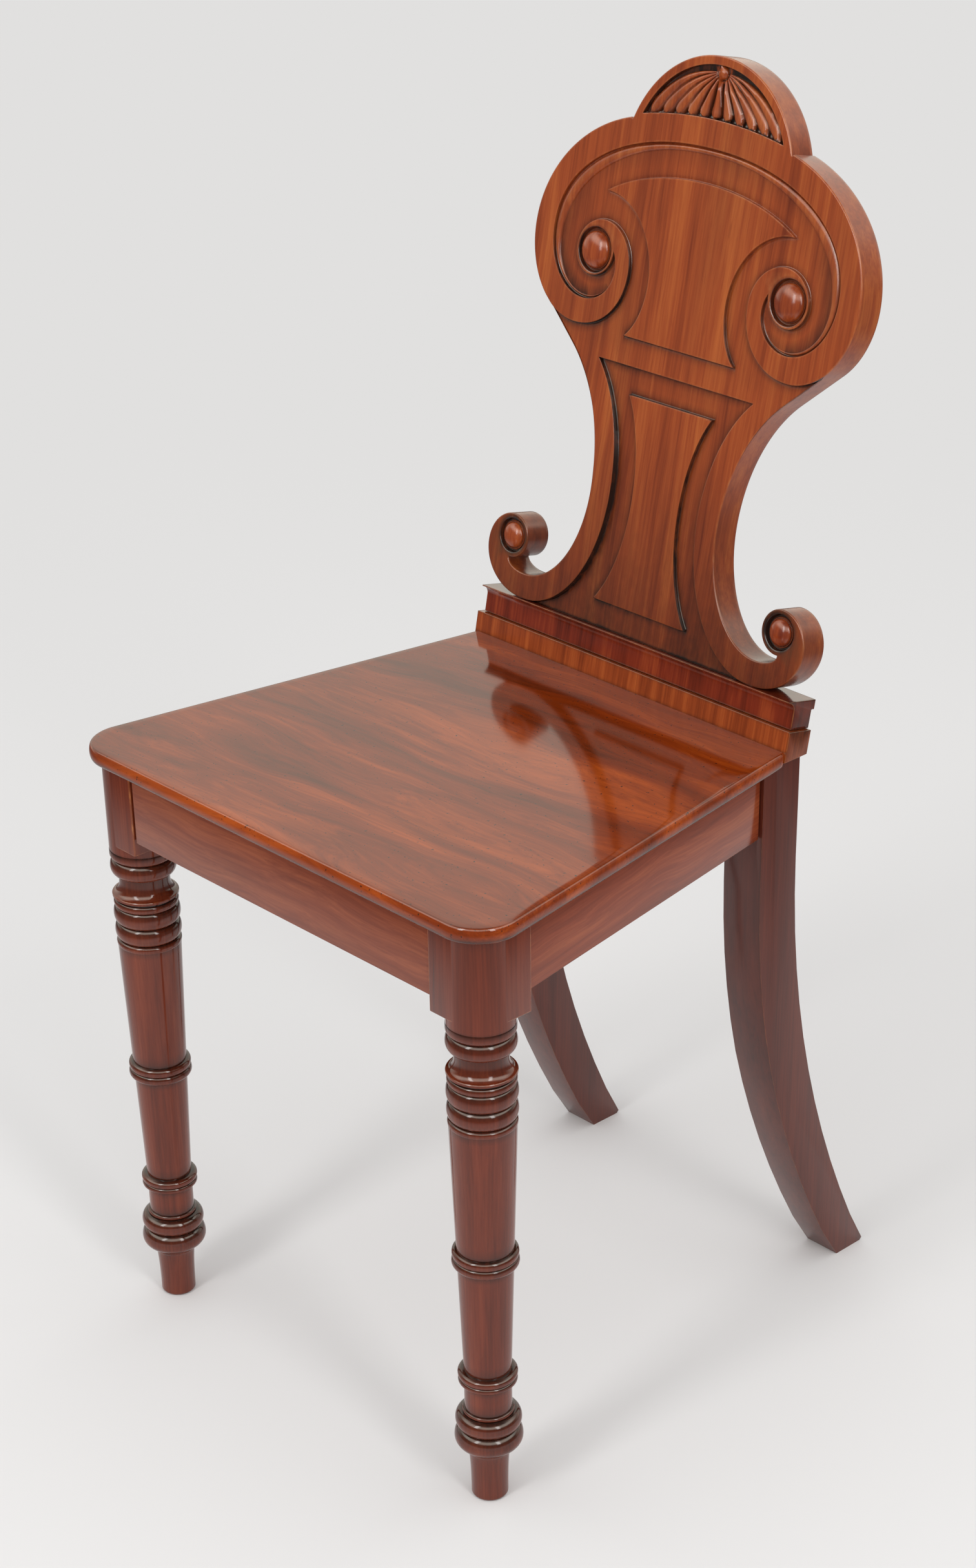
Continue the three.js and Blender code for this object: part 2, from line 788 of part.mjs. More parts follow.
// The shaft is straight up to the lower ring and then swells evenly to the knee.
function shaftRadius(height) {
  const low = lowerRingHead.high;
  const climb = Math.max(0, height - low);
  return ankleRadius + ((kneeRadius - ankleRadius) * climb) / (shaftCollar.low - low);
}

// A bead swells from one radius to another over its full height.
function beadProfile(bead, footAt, headAt, steps) {
  const middle = (bead.low + bead.high) / 2;
  const half = (bead.high - bead.low) / 2;
  return Array.from({ length: steps + 1 }, (_, i) => {
    const angle = Math.PI * (i / steps - 0.5);
    const rest = i * 2 < steps ? footAt : headAt;
    const radius = rest + (bead.radius - rest) * Math.cos(angle);
    return [radius, middle + half * Math.sin(angle)];
  });
}

function legProfile() {
  const groove = (bead) => bead.radius * grooveShare;
  const ringGroove = (bead) => bead.radius * ringGrooveShare;
  const flare = footRadius + footFlare;
  const neckFoot = vase.low - neckHeight;
  const shaftRing = (foot, head) => [
    ...beadProfile(foot, shaftRadius(foot.low), ringGroove(foot), 4),
    ...beadProfile(head, ringGroove(foot), shaftRadius(head.high), 4).slice(1),
  ];
  return [
    [0, 0],
    ...pairs(quarter(place(footRadius - footRound, 0), place(footRadius, footRound), true, 2)),
    ...pairs(quarter(place(footRadius, footRound), place(flare, footHeight), false, 3)).slice(1),
    ...beadProfile(lowerBulb, flare, bulbGroove, 6),
    ...beadProfile(upperBulb, bulbGroove, ankleRing.radius, 5).slice(1),
    ...beadProfile(ankleRing, ankleRadius, ankleRadius, 2).slice(1),
    ...shaftRing(lowerRingFoot, lowerRingHead),
    ...shaftRing(middleRingFoot, middleRingHead),
    [kneeRadius, shaftCollar.low],
    ...beadProfile(shaftCollar, kneeRadius, groove(lowerReed), 2).slice(1),
    ...beadProfile(lowerReed, groove(lowerReed), groove(upperReed), 4).slice(1),
    ...beadProfile(upperReed, groove(upperReed), ringGroove(discReed), 4).slice(1),
    ...beadProfile(discReed, ringGroove(discReed), ringGroove(discReed), 2).slice(1),
    [disc.radius, disc.low],
    ...pairs(quarter(place(disc.radius, disc.high), place(neckRadius, neckFoot), true, 3)),
    ...beadProfile(vase, neckRadius, groove(vase), 7),
    ...beadProfile(capRing, groove(vase), blockHalf, 3).slice(1),
    [blockHalf, blockFoot + overrun],
    [0, blockFoot + overrun],
  ];
}

// The square block keeps three corners and is rounded to the turning at the outer front one.
function legBlock(side) {
  const shape = new THREE.Shape();
  shape.moveTo(blockHalf, blockHalf);
  shape.lineTo(-blockHalf, blockHalf);
  shape.lineTo(-blockHalf, -blockHalf);
  shape.lineTo(0, -blockHalf);
  shape.absarc(0, 0, blockHalf, -Math.PI / 2, 0, false);
  const geometry = new THREE.ExtrudeGeometry(shape, {
    depth: railTop - blockFoot,
    bevelEnabled: false,
    curveSegments: 8,
  }).translate(0, 0, blockFoot);
  return side > 0 ? geometry : flipped(geometry);
}

// The mirror image across the middle of the chair, with its faces turned outwards again.
function flipped(geometry) {
  const image = geometry.clone().applyMatrix4(new THREE.Matrix4().makeScale(-1, 1, 1));
  const plain = image.index ? image.toNonIndexed() : image;
  const position = plain.attributes.position;
  for (let i = 0; i < position.count; i += 3) {
    const second = new THREE.Vector3().fromBufferAttribute(position, i + 1);
    const third = new THREE.Vector3().fromBufferAttribute(position, i + 2);
    position.setXYZ(i + 1, third.x, third.y, third.z);
    position.setXYZ(i + 2, second.x, second.y, second.z);
  }
  return plain;
}

function frontLeg(side) {
  const toLeg = new THREE.Matrix4().makeTranslation(-side * frontLegHalfSpan, 0, 0);
  const mortises = [frontRailTenon(side, fitGap), sideRailTenon(side, 'front', fitGap)];
  const cuts = mortises.map((tenon) => tenon.applyMatrix4(toLeg));
  return carve(turned(legProfile(), legFacets), [legBlock(side)], cuts);
}

// Rails

const tenonFoot = railFoot + tenonShoulder;
const tenonHead = railTop - tenonShoulder;
const frontRailFace = -blockHalf + frontRailSetback;
const frontRailHalf = frontLegHalfSpan - blockHalf - fitGap;

function frontRailTenon(side, clearance) {
  const middle = frontRailFace + railThickness / 2;
  const half = tenonThickness / 2 + clearance;
  const root = frontRailHalf - frontJointGap - overrun;
  const ends = [side * root, side * (frontRailHalf + tenonLength + clearance)];
  return slab(
    ends.sort((a, b) => a - b),
    [middle - half, middle + half],
    [tenonFoot - clearance, tenonHead + clearance],
  );
}

// The front rail's left shoulder has drawn away from its leg.
function frontRail() {
  const body = slab(
    [frontJointGap - frontRailHalf, frontRailHalf],
    [frontRailFace, frontRailFace + railThickness],
    [railFoot, railTop],
  );
  const tenons = [frontRailTenon(-1, 0), frontRailTenon(1, 0)];
  const places = seatScrewPlaces().filter(({ rail }) => rail === 'front_rail');
  const cuts = places.flatMap(({ at }) => screwCuts(at));
  return carve(body, tenons, cuts);
}

// A side rail runs from the front block's back to the rear leg's front, closing in on the way.
// Its rear shoulder has drawn away from the leg.
const sideRailStart = place(frontLegHalfSpan + blockHalf - sideRailSetback.front, blockHalf + fitGap);
const sideRailEnd = place(rearLegHalfSpan - sideRailSetback.rear, rearLegFront - sideJointGap);
const sideRailSpan = sideRailEnd.clone().sub(sideRailStart);
const sideRailAngle = Math.atan2(-sideRailSpan.x, sideRailSpan.y);
const sideRailRun = sideRailSpan.length();

// The rail's own frame: X outwards from the outer face, Y along the rail from its front end.
function sideRailFrame(side) {
  const turn = new THREE.Matrix4().makeRotationZ(side * sideRailAngle);
  return turn.setPosition(side * sideRailStart.x, sideRailStart.y, 0);
}

// A tenon in the rail's own frame. Its mortise is the same box with a clearance all round.
function sideRailTenonLocal(side, end, clearance) {
  const half = tenonThickness / 2 + clearance;
  const middle = (-side * railThickness) / 2;
  const reach = tenonLength + clearance;
  const inside = sideRailRun - railThickness;
  const along = end === 'front' ? [-reach, railThickness] : [inside, sideRailRun + reach];
  return slab([middle - half, middle + half], along, [tenonFoot - clearance, tenonHead + clearance]);
}

function sideRailTenon(side, end, clearance) {
  return sideRailTenonLocal(side, end, clearance).applyMatrix4(sideRailFrame(side));
}

// Both ends are cut square to the chair, so that they meet the block and the leg flat.
function sideRail(side) {
  const inward = -side * railThickness;
  const skew = Math.tan(sideRailAngle) * side;
  const corner = (x, y) => new THREE.Vector2(x, y - skew * x);
  const outline = [corner(0, 0), corner(0, sideRailRun), corner(inward, sideRailRun), corner(inward, 0)];
  const shape = new THREE.Shape(side > 0 ? outline : outline.reverse());
  const body = prism(shape, railFoot, railTop);
  const tenons = ['front', 'rear'].map((end) => sideRailTenonLocal(side, end, 0));
  const inverse = sideRailFrame(side).invert();
  const rail = side > 0 ? 'right_side_rail' : 'left_side_rail';
  const places = seatScrewPlaces().filter((screw) => screw.rail === rail);
  const cuts = places.flatMap(({ at }) => screwCuts(at)).map((cut) => cut.applyMatrix4(inverse));
  return carve(body, tenons, cuts);
}

const backRailRear = rearLegFront + rearLegDepth - backRailSetback;
const backRailFront = backRailRear - backRailThickness;
const backRailHalf = rearLegHalfSpan - rearLegWidth - fitGap;

// Y of the plinth's front plane at a height. The seat board's rear edge leans with it.
function plinthFaceAt(height) {
  return seatDepth - Math.tan(rake) * (seatHeight - height);
}

// The step behind the seat board, where back rail and rear legs rise to the plinth.
const seatStep = plinthFaceAt(plinthFoot);

function backRailTenon(side, clearance) {
  const middle = (backRailFront + backRailRear) / 2;
  const half = tenonThickness / 2 + clearance;
  const ends = [side * (backRailHalf - overrun), side * (backRailHalf + tenonLength + clearance)];
  return slab(
    ends.sort((a, b) => a - b),
    [middle - half, middle + half],
    [tenonFoot - clearance, tenonHead + clearance],
  );
}

function backRail() {
  const section = [
    [backRailFront, railFoot],
    [backRailRear, railFoot],
    [backRailRear, plinthFoot - fitGap],
    [seatStep, plinthFoot - fitGap],
    [seatStep, railTop],
    [backRailFront, railTop],
  ];
  const cuts = backScrewPlaces().flatMap((at) => [
    rod(screwShank + fitGap, 0, backScrewLength).applyMatrix4(at),
    rod(pocketRadius, -backScrewDepth - overrun, 0).applyMatrix4(at),
  ]);
  const tenons = [backRailTenon(-1, 0), backRailTenon(1, 0)];
  return carve(lengthwise(section, -backRailHalf, backRailHalf), tenons, cuts);
}

// Rear legs

// A leg's edge: upright from the head down, then swept back in one even curve to the toe.
function sweptEdge(upright, sweepHeight, toe, steps) {
  const curve = new THREE.QuadraticBezierCurve(
    place(upright, sweepHeight),
    place(upright, sweepHeight / 2),
    place(toe, 0),
  );
  return curve.getPoints(steps).map((point) => [point.x, point.y]);
}

// Y of the tenons and screws that hold the plinth, above the middle of its foot.
const bearingY = rearLegFront + rearLegDepth * plinthBearingShare;

function rearLegTenon(side, clearance) {
  const x = side * (rearLegHalfSpan - rearLegWidth / 2);
  const y = bearingY;
  const halfWidth = legTenonWidth / 2 + clearance;
  const halfDepth = legTenonThickness / 2 + clearance;
  return slab(
    [x - halfWidth, x + halfWidth],
    [y - halfDepth, y + halfDepth],
    [plinthFoot - overrun, plinthFoot + legTenonLength + clearance],
  );
}

function rearLeg(side) {
  const rear = rearLegFront + rearLegDepth;
  const front = sweptEdge(rearLegFront, seatHeight - sweepFrontDrop, toeFront, 12);
  const back = sweptEdge(rear, seatHeight - sweepRearDrop, toeRear, 12).slice(0, -1).reverse();
  const section = [
    [rearLegFront, railTop],
    ...front.slice(0, -1),
    [toeFront + toeRound, 0],
    [toeRear - toeRound, 0],
    [toeRear, toeRound],
    ...back,
    [rear, plinthFoot - fitGap],
    [seatStep, plinthFoot - fitGap],
    [seatStep, railTop],
  ];
  const outer = side * rearLegHalfSpan;
  const inner = side * (rearLegHalfSpan - rearLegWidth);
  const ends = [outer, inner].sort((a, b) => a - b);
  const geometry = lengthwise(section, ends[0], ends[1]);
  const position = geometry.attributes.position;
  for (let i = 0; i < position.count; i += 1) {
    const share = Math.max(0, 1 - position.getZ(i) / taperHeight);
    if (Math.abs(position.getX(i) - inner) < fitGap) {
      position.setX(i, inner + side * (rearLegWidth - rearLegToeWidth) * share);
    }
  }
  const mortises = [sideRailTenon(side, 'rear', fitGap), backRailTenon(side, fitGap)];
  return carve(geometry, [rearLegTenon(side, 0)], mortises);
}

// Seat board: straight sides, corners struck from the front legs' axes, a rounded nosing

const cornerRadius = blockHalf + nosingOverhang;

function seatBoard() {
  // The side's line touches the corner's circle and passes the rear corner.
  const reach = new THREE.Vector2(frontLegHalfSpan - seatRearHalf, -seatDepth);
  const lean = Math.atan2(reach.x, -reach.y);
  const extra = Math.asin(cornerRadius / reach.length());
  const angle = lean + extra;
  const inset = nosingRound;
  const radius = cornerRadius - inset;
  const corner = circleArc(place(frontLegHalfSpan, 0), radius, -Math.PI / 2, angle, 9);
  const out = place(Math.cos(angle), Math.sin(angle));
  const rearY = seatDepth + railThickness;
  const touch = corner.at(-1);
  const rearX = touch.x - ((rearY - touch.y) * out.y) / out.x;
  const half = chain(corner, [place(rearX, rearY)]);
  const board = new THREE.ExtrudeGeometry(mirrored(half), {
    depth: seatThickness - 2 * inset,
    bevelThickness: inset,
    bevelSize: inset,
    bevelSegments: 4,
  }).translate(0, 0, seatUnderside + inset);
  const wedge = lengthwise(
    [
      [plinthFaceAt(seatUnderside) - fitGap, seatUnderside - overrun],
      [seatDepth + railThickness * 2, seatUnderside - overrun],
      [seatDepth + railThickness * 2, seatHeight + overrun],
      [seatDepth - fitGap, seatHeight + overrun],
      [seatDepth - fitGap, seatHeight],
      [plinthFaceAt(seatUnderside) - fitGap, seatUnderside],
    ],
    -frontLegHalfSpan * 2,
    frontLegHalfSpan * 2,
  );
  const bores = seatScrewPlaces().map(({ at }) => {
    return rod(screwShank + fitGap, 0, seatScrewLength + fitGap).applyMatrix4(at);
  });
  return carve(board, [], [wedge, ...bores]);
}

// Screws

// A round-headed wood screw along +Z, with the flat of its head at zero.
function screwGeometry(length) {
  return turned(
    [
      ...pairs(quarter(place(0, -headHeight), place(screwHead, -fitGap), true, 3)),
      [screwShank, -fitGap],
      [screwShank, length - screwTip],
      [0, length],
    ],
    boreFacets,
  );
}

function screwCuts(at) {
  const head = headHeight + overrun;
  const pocketLength = pocketInset / Math.sin(pocketTilt) + pocketRadius / Math.tan(pocketTilt) + head;
  return [
    rod(screwShank + fitGap, -overrun, seatScrewLength).applyMatrix4(at),
    rod(pocketRadius, -pocketLength, 0).applyMatrix4(at),
  ];
}

// Seat screws lean outwards from pockets in the rails' inner faces up into the seat board.
function seatScrewPlaces() {
  const rise = (seatScrewLength - seatScrewBite) * Math.cos(pocketTilt);
  const height = seatUnderside - rise;
  const tilt = new THREE.Matrix4().makeRotationX(pocketTilt);
  const places = [];
  const inset = railThickness - pocketInset;
  for (const side of [-1, 1]) {
    const at = tilt.clone().setPosition(side * frontScrewSpan, frontRailFace + inset, height);
    places.push({ name: `front_seat_screw_${side < 0 ? 'left' : 'right'}`, rail: 'front_rail', at });
  }
  for (const side of [-1, 1]) {
    const lean = new THREE.Matrix4().makeRotationY(side * pocketTilt);
    sideScrewShares.forEach((share, i) => {
      const local = lean.clone().setPosition(-side * inset, sideRailRun * share, height);
      const at = sideRailFrame(side).multiply(local);
      const word = side < 0 ? 'left' : 'right';
      places.push({ name: `${word}_seat_screw_${i + 1}`, rail: `${word}_side_rail`, at });
    });
  }
  return places;
}

// Two long screws stand upright in the back rail and hold the plinth down.
function backScrewPlaces() {
  const height = railFoot + backScrewDepth;
  return [-1, 1].map((side) => new THREE.Matrix4().makeTranslation(side * backScrewSpan, bearingY, height));
}

// Glue blocks, notched round the corner of the leg and lying against both rails

function glueBlock(points, side) {
  const shape = new THREE.Shape(points.map(([x, y]) => new THREE.Vector2(x, y)));
  const low = railTop - glueBlockHeight;
  const geometry = prism(shape, low, railTop);
  return side > 0 ? geometry : flipped(geometry);
}

// X of the right side rail's inner face, less the clearance, at a given Y.
function innerFaceAt(y) {
  const slope = sideRailSpan.x / sideRailSpan.y;
  const face = sideRailStart.x + (y - sideRailStart.y) * slope;
  return face - (railThickness + fitGap) / Math.cos(sideRailAngle);
}

function frontGlueBlock(side) {
  const legX = frontLegHalfSpan - blockHalf - fitGap;
  const legY = blockHalf + fitGap;
  const railY = frontRailFace + railThickness + fitGap;
  const farY = legY + blockReach;
  return glueBlock(
    [
      [legX - blockReach, railY],
      [legX, railY],
      [legX, legY],
      [innerFaceAt(legY), legY],
      [innerFaceAt(farY), farY],
    ],
    side,
  );
}

function rearGlueBlock(side) {
  const legX = rearLegHalfSpan - rearLegWidth - fitGap;
  const legY = rearLegFront - fitGap;
  const railY = backRailFront - fitGap;
  const nearY = legY - blockReach;
  return glueBlock(
    [
      [innerFaceAt(nearY), nearY],
      [innerFaceAt(legY), legY],
      [legX, legY],
      [legX, railY],
      [legX - blockReach, railY],
    ],
    side,
  );
}

// Assembly

function named(name, geometry, material) {
  const mesh = new THREE.Mesh(geometry, material);
  mesh.name = name;
  return mesh;
}

const chair = new THREE.Group();

// The back's frame stands on the seat's rear edge and leans back by the rake.
const back = new THREE.Group();
back.position.set(0, seatDepth, seatHeight);
back.rotation.x = Math.PI / 2 - rake;
back.updateMatrix();
back.add(named('lower_plinth', lowerPlinth(back.matrix), finishes.plinth));
back.add(named('upper_plinth', upperPlinth(), finishes.plinth));
back.add(named('back_board', backBoard(), finishes.back));
for (const { name, x, height, boss } of bossPlaces()) {
  const mesh = named(name, bossGeometry(boss), finishes.back);
  mesh.position.set(x, height, -boss.level + fitGap);
  back.add(mesh);
}
for (const [side, word] of [[-1, 'left'], [1, 'right']]) {
  back.add(named(`${word}_back_dowel`, dowelAt(side, 0), finishes.deal));
}
chair.add(back);

chair.add(named('seat_board', seatBoard(), finishes.seat));
chair.add(named('front_rail', frontRail(), finishes.frame));
chair.add(named('back_rail', backRail(), finishes.frame));

for (const [side, word] of [[-1, 'left'], [1, 'right']]) {
  const leg = named(`${word}_front_leg`, frontLeg(side), finishes.legs);
  leg.position.x = side * frontLegHalfSpan;
  chair.add(leg);

  const rail = named(`${word}_side_rail`, sideRail(side), finishes.frame);
  rail.position.set(side * sideRailStart.x, sideRailStart.y, 0);
  rail.rotation.z = side * sideRailAngle;
  chair.add(rail);

  chair.add(named(`${word}_rear_leg`, rearLeg(side), finishes.legs));
  chair.add(named(`${word}_front_glue_block`, frontGlueBlock(side), finishes.deal));
  chair.add(named(`${word}_rear_glue_block`, rearGlueBlock(side), finishes.deal));
}

function addScrew(name, length, at) {
  const screw = named(name, screwGeometry(length), finishes.iron);
  at.decompose(screw.position, screw.quaternion, screw.scale);
  chair.add(screw);
}

for (const { name, at } of seatScrewPlaces()) {
  addScrew(name, seatScrewLength, at);
}
backScrewPlaces().forEach((at, i) => {
  addScrew(`${i ? 'right' : 'left'}_back_screw`, backScrewLength, at);
});

// The nosing is the foremost edge and the rear toes are the hindmost.
chair.position.y = (cornerRadius - toeRear) / 2;

export default chair;
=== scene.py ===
"""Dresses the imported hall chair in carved, turned and French polished mahogany."""

from __future__ import annotations
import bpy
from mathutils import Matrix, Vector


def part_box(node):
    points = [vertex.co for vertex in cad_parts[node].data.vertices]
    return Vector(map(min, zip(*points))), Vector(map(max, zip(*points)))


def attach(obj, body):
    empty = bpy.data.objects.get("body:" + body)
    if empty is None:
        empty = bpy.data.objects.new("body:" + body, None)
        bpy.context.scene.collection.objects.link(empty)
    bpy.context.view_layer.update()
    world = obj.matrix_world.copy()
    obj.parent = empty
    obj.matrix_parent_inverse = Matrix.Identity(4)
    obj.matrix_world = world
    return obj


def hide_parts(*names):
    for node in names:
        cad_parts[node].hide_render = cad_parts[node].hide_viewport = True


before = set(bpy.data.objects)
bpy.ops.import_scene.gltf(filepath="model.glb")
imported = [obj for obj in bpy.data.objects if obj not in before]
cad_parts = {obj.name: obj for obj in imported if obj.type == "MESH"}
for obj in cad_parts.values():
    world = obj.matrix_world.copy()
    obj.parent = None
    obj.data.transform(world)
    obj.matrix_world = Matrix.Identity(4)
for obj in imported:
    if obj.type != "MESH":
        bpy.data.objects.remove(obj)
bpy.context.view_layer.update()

import logging
import math
from dataclasses import dataclass, field, replace
from enum import Enum
from functools import partial
from typing import Callable, Iterable, Sequence

import bmesh
import bpy
import numpy as np
from mathutils import Matrix, Vector, noise
from mathutils.geometry import delaunay_2d_cdt

log = logging.getLogger("hall_chair")

Array = np.ndarray
Point = tuple[float, float]
Place = tuple[float, float, float]
Mesh = bpy.types.Mesh
Material = bpy.types.Material
Socket = bpy.types.NodeSocket
Looks = dict[str, Material]

MM = 0.001
BODY = "root"

# Places are in millimetres from the front legs' axes, as in the solid model, and LEG_LINE_Y is
# the way from there to the frame's origin.
LEG_LINE_Y = -191.25
LEG_SPAN = 170.3
RAKE = math.radians(11.81)
SPLAY = math.radians(9.5)
# The way straight out of the back's front plane.
FRONT = (0.0, -math.cos(RAKE), math.sin(RAKE))
SEAT_HEIGHT = 445.0
SEAT_DEPTH = 296.0

# The longest stretch between two points of a curve, and the fewest stretches in one.
CHORD = 1.6
FEWEST = 4
# A quarter of a circle is so much longer than the straight way between its ends.
QUARTER_LENGTH = 1.12

# How bright the polish sees the soft light behind the chair, the room before it and the row of
# soft lamps in that room, and how bright the even light on the chair is.
BEHIND = 1.55
ROOM = 0.2
LAMPS = 5.0
# How steeply the way to the row of lamps rises, and the level way from the chair to the camera.
LAMP_ROW = 0.62
TO_CAMERA = (0.71, -0.70, 0.0)
SKYLIGHT = 0.9
BACKDROP = "#e1e0df"
FLOOR = "#e2e1e0"


class Side(Enum):
    """The two sides of the chair, as seen from the front."""

    LEFT = -1
    RIGHT = 1

    @property
    def word(self) -> str:
        """The side's name in lower case."""
        return self.name.lower()


# Lines


def quarter(
    start: Point, end: Point, level: bool, share: float = 1.0, fullness: float = 1.0
) -> Array:
    """Draws a quarter of an ellipse.

    Args:
        start: Where it starts.
        end: Where the whole quarter would end.
        level: True if it leaves the start level, False if upright.
        share: How much of the quarter is drawn.
        fullness: Below 1 the curve swells beyond the ellipse.

    Returns:
        The points along it.
    """
    across, up = end[0] - start[0], end[1] - start[1]
    steps = max(FEWEST, math.ceil(math.hypot(across, up) * share * QUARTER_LENGTH / CHORD))
    angle = np.linspace(0, share * math.pi / 2, steps + 1)
    slow = 1 - np.clip(np.cos(angle), 0, 1) ** fullness
    fast = np.sin(angle) ** fullness
    x, y = (fast, slow) if level else (slow, fast)
    return np.stack([start[0] + across * x, start[1] + up * y], 1)


def cut_quarter(start: Point, through: Point, share: float) -> Array:
    """Draws the first share of a quarter of an ellipse that leaves its start upright.

    Args:
        start: Where it starts.
        through: Where the drawn share ends.
        share: How much of the quarter is drawn.

    Returns:
        The points along it.
    """
    angle = share * math.pi / 2
    across = (through[0] - start[0]) / (1 - math.cos(angle))
    up = (through[1] - start[1]) / math.sin(angle)
    return quarter(start, (start[0] + across, start[1] + up), False, share)


def arc(centre: Point, radius: float, start: float, end: float) -> Array:
    """Draws a circle's arc.

    Args:
        centre: The circle's middle.
        radius: Its radius.
        start: Angle at which the arc starts.
        end: Angle at which it ends.

    Returns:
        The points along it.
    """
    steps = max(FEWEST, math.ceil(abs(end - start) * radius / CHORD))
    angle = np.linspace(start, end, steps + 1)
    return np.stack([centre[0] + radius * np.cos(angle), centre[1] + radius * np.sin(angle)], 1)


def straight(start: Point, end: Point, chord: float = 4.0) -> Array:
    """Draws a straight run of points, no further apart than the chord."""
    return np.linspace(start, end, max(1, math.ceil(math.dist(start, end) / chord)) + 1)


def chain(*runs: Array) -> Array:
    """Joins runs of points.

    Args:
        runs: The runs, in order.

    Returns:
        One run, in which no place is there twice.
    """
    points = [runs[0][0]]
    for point in np.concatenate(runs):
        if math.dist(point, points[-1]) > 1e-3:
            points.append(point)
    return np.array(points)


def offset(points: Array, distance: Array | float) -> Array:
    """Sets points off square to their run.

    Args:
        points: The run.
        distance: How far they go to its right, as it is followed.

    Returns:
        The moved points.
    """
    along = np.gradient(points, axis=0)
    along /= np.maximum(np.linalg.norm(along, axis=1, keepdims=True), 1e-9)
    right = np.stack([along[:, 1], -along[:, 0]], 1)
    return points + right * np.reshape(distance, (-1, 1))


def nearest(points: Array, line: Array) -> tuple[Array, Array]:
    """Measures points against a line.

    Args:
        points: The points.
        line: The line's points.

    Returns:
        The distance of each point, and the share of the line's points before its nearest place.
    """
    start, step = line[:-1], np.diff(line, axis=0)
    length = np.maximum((step**2).sum(1), 1e-12)
    distances, shares = [], []
    for part in np.array_split(points, max(1, len(points) * len(step) // 2_000_000)):
        gap = part[:, None, :] - start[None]
        along = np.clip((gap * step).sum(2) / length, 0, 1)
        apart = np.linalg.norm(gap - along[..., None] * step, axis=2)
        best = apart.argmin(1)
        rows = np.arange(len(part))
        distances.append(apart[rows, best])
        shares.append((best + along[rows, best]) / len(step))
    return np.concatenate(distances), np.concatenate(shares)


def inside(points: Array, outline: Array) -> Array:
    """Tells which points lie inside a closed outline.

    Args:
        points: The points.
        outline: The outline's points, of which the last leads back to the first.

    Returns:
        True or False for each point.
    """
    x, y = points[:, 0], points[:, 1]
    result = np.zeros(len(points), bool)
    for a, b in zip(outline, np.roll(outline, -1, axis=0)):
        if a[1] != b[1]:
            crosses = (a[1] > y) != (b[1] > y)
            result ^= crosses & (x < (b[0] - a[0]) * (y - a[1]) / (b[1] - a[1]) + a[0])
    return result


def beyond(points: Array, line: Array, *closing: Point) -> Array:
    """Measures how far points lie outside a line.

    Args:
        points: The points.
        line: The line.
        closing: The places that close the line to an outline.

    Returns:
        The distance from the line, below 0 inside the outline.
    """
    gap, _ = nearest(points, line)
    return np.where(inside(points, np.array([*line, *closing])), -gap, gap)


def triangulate(lines: Iterable[Array]) -> tuple[Array, Array]:
    """Fills the plane between lines with triangles.

    Args:
        lines: The lines that the triangles' edges follow.

    Returns:
        The places, and the three places of each triangle.
    """
    points: list[Vector] = []
    edges: list[tuple[int, int]] = []
    for line in lines:
        first = len(points)
        points += [Vector(point) for point in line.tolist()]
        edges += [(i, i + 1) for i in range(first, len(points) - 1)]
    filled = delaunay_2d_cdt(points, edges, [], 0, 0.02, False)
    return np.array([tuple(v) for v in filled[0]]), np.array(filled[2])


def normals(loop: Array) -> Array:
    """Works out the ways to the right of a closed loop.

    Args:
        loop: The places of the loop, of which the last leads back to the first.

    Returns:
        One direction of length 1 for each place.
    """
    along = np.roll(loop, -1, 0) - np.roll(loop, 1, 0)
    along /= np.linalg.norm(along, axis=1, keepdims=True)
    return np.stack([along[:, 1], -along[:, 0]], 1)


# Meshes


@dataclass
class Shell:
    """A mesh in the making, in millimetres, with two painted values for each vertex.

    Grime is what gathers in hollows, with painted shade there too, and wear what is rubbed off arrises,
    with painted highlights there too, both from 0 to 1.
    """

    points: list[Place] = field(default_factory=list)
    faces: list[Sequence[int]] = field(default_factory=list)
    grime: list[float] = field(default_factory=list)
    wear: list[float] = field(default_factory=list)
    slots: dict[int, int] = field(default_factory=dict)

    def add(self, points: Array, grime: Array | float = 0.0, wear: Array | float = 0.0) -> list[int]:
        """Adds vertices.

        Args:
            points: Their places.
            grime: Their grime and painted shade, one value for all or one for each.
            wear: Their wear and painted highlight, likewise.

        Returns:
            Their numbers.
        """
        first = len(self.points)
        self.points += [tuple(point) for point in points.tolist()]
        self.grime += np.broadcast_to(grime, len(points)).tolist()
        self.wear += np.broadcast_to(wear, len(points)).tolist()
        return list(range(first, len(self.points)))

    def bridge(self, *rings: Sequence[int]) -> None:
        """Joins closed rings of equally many vertices, each to the next."""
        for low, high in zip(rings, rings[1:]):
            follow = [*range(1, len(low)), 0]
            self.faces += [(low[i], low[j], high[j], high[i]) for i, j in enumerate(follow)]

    def cap(self, ring: Sequence[int], slot: int = 0) -> None:
        """Closes a ring with one flat face that takes a material slot."""
        self.slots[len(self.faces)] = slot
        self.faces.append(tuple(ring))

    def mesh(self, name: str, sharp: float = 32.0, flat: float = 0.0) -> Mesh:
        """Makes the Blender mesh, in metres.

        Args:
            name: The mesh's name.
            sharp: Angle in degrees past which an edge is shaded sharp.
            flat: Largest tilt in degrees, from the raked front plane, of faces shaded flat.

        Returns:
            A mesh with its normals outwards and with its painted values as attributes.
        """
        mesh = bpy.data.meshes.new(name)
        mesh.from_pydata((np.array(self.points) * MM).tolist(), [], self.faces)
        paint(mesh, "POINT", {"grime": self.grime, "wear": self.wear})
        for face, slot in self.slots.items():
            mesh.polygons[face].material_index = slot
        outwards(mesh)
        front = Vector(FRONT)
        limit = math.cos(math.radians(flat))
        smooth = [not flat or abs(face.normal.dot(front)) < limit for face in mesh.polygons]
        return shaded(mesh, sharp, smooth)


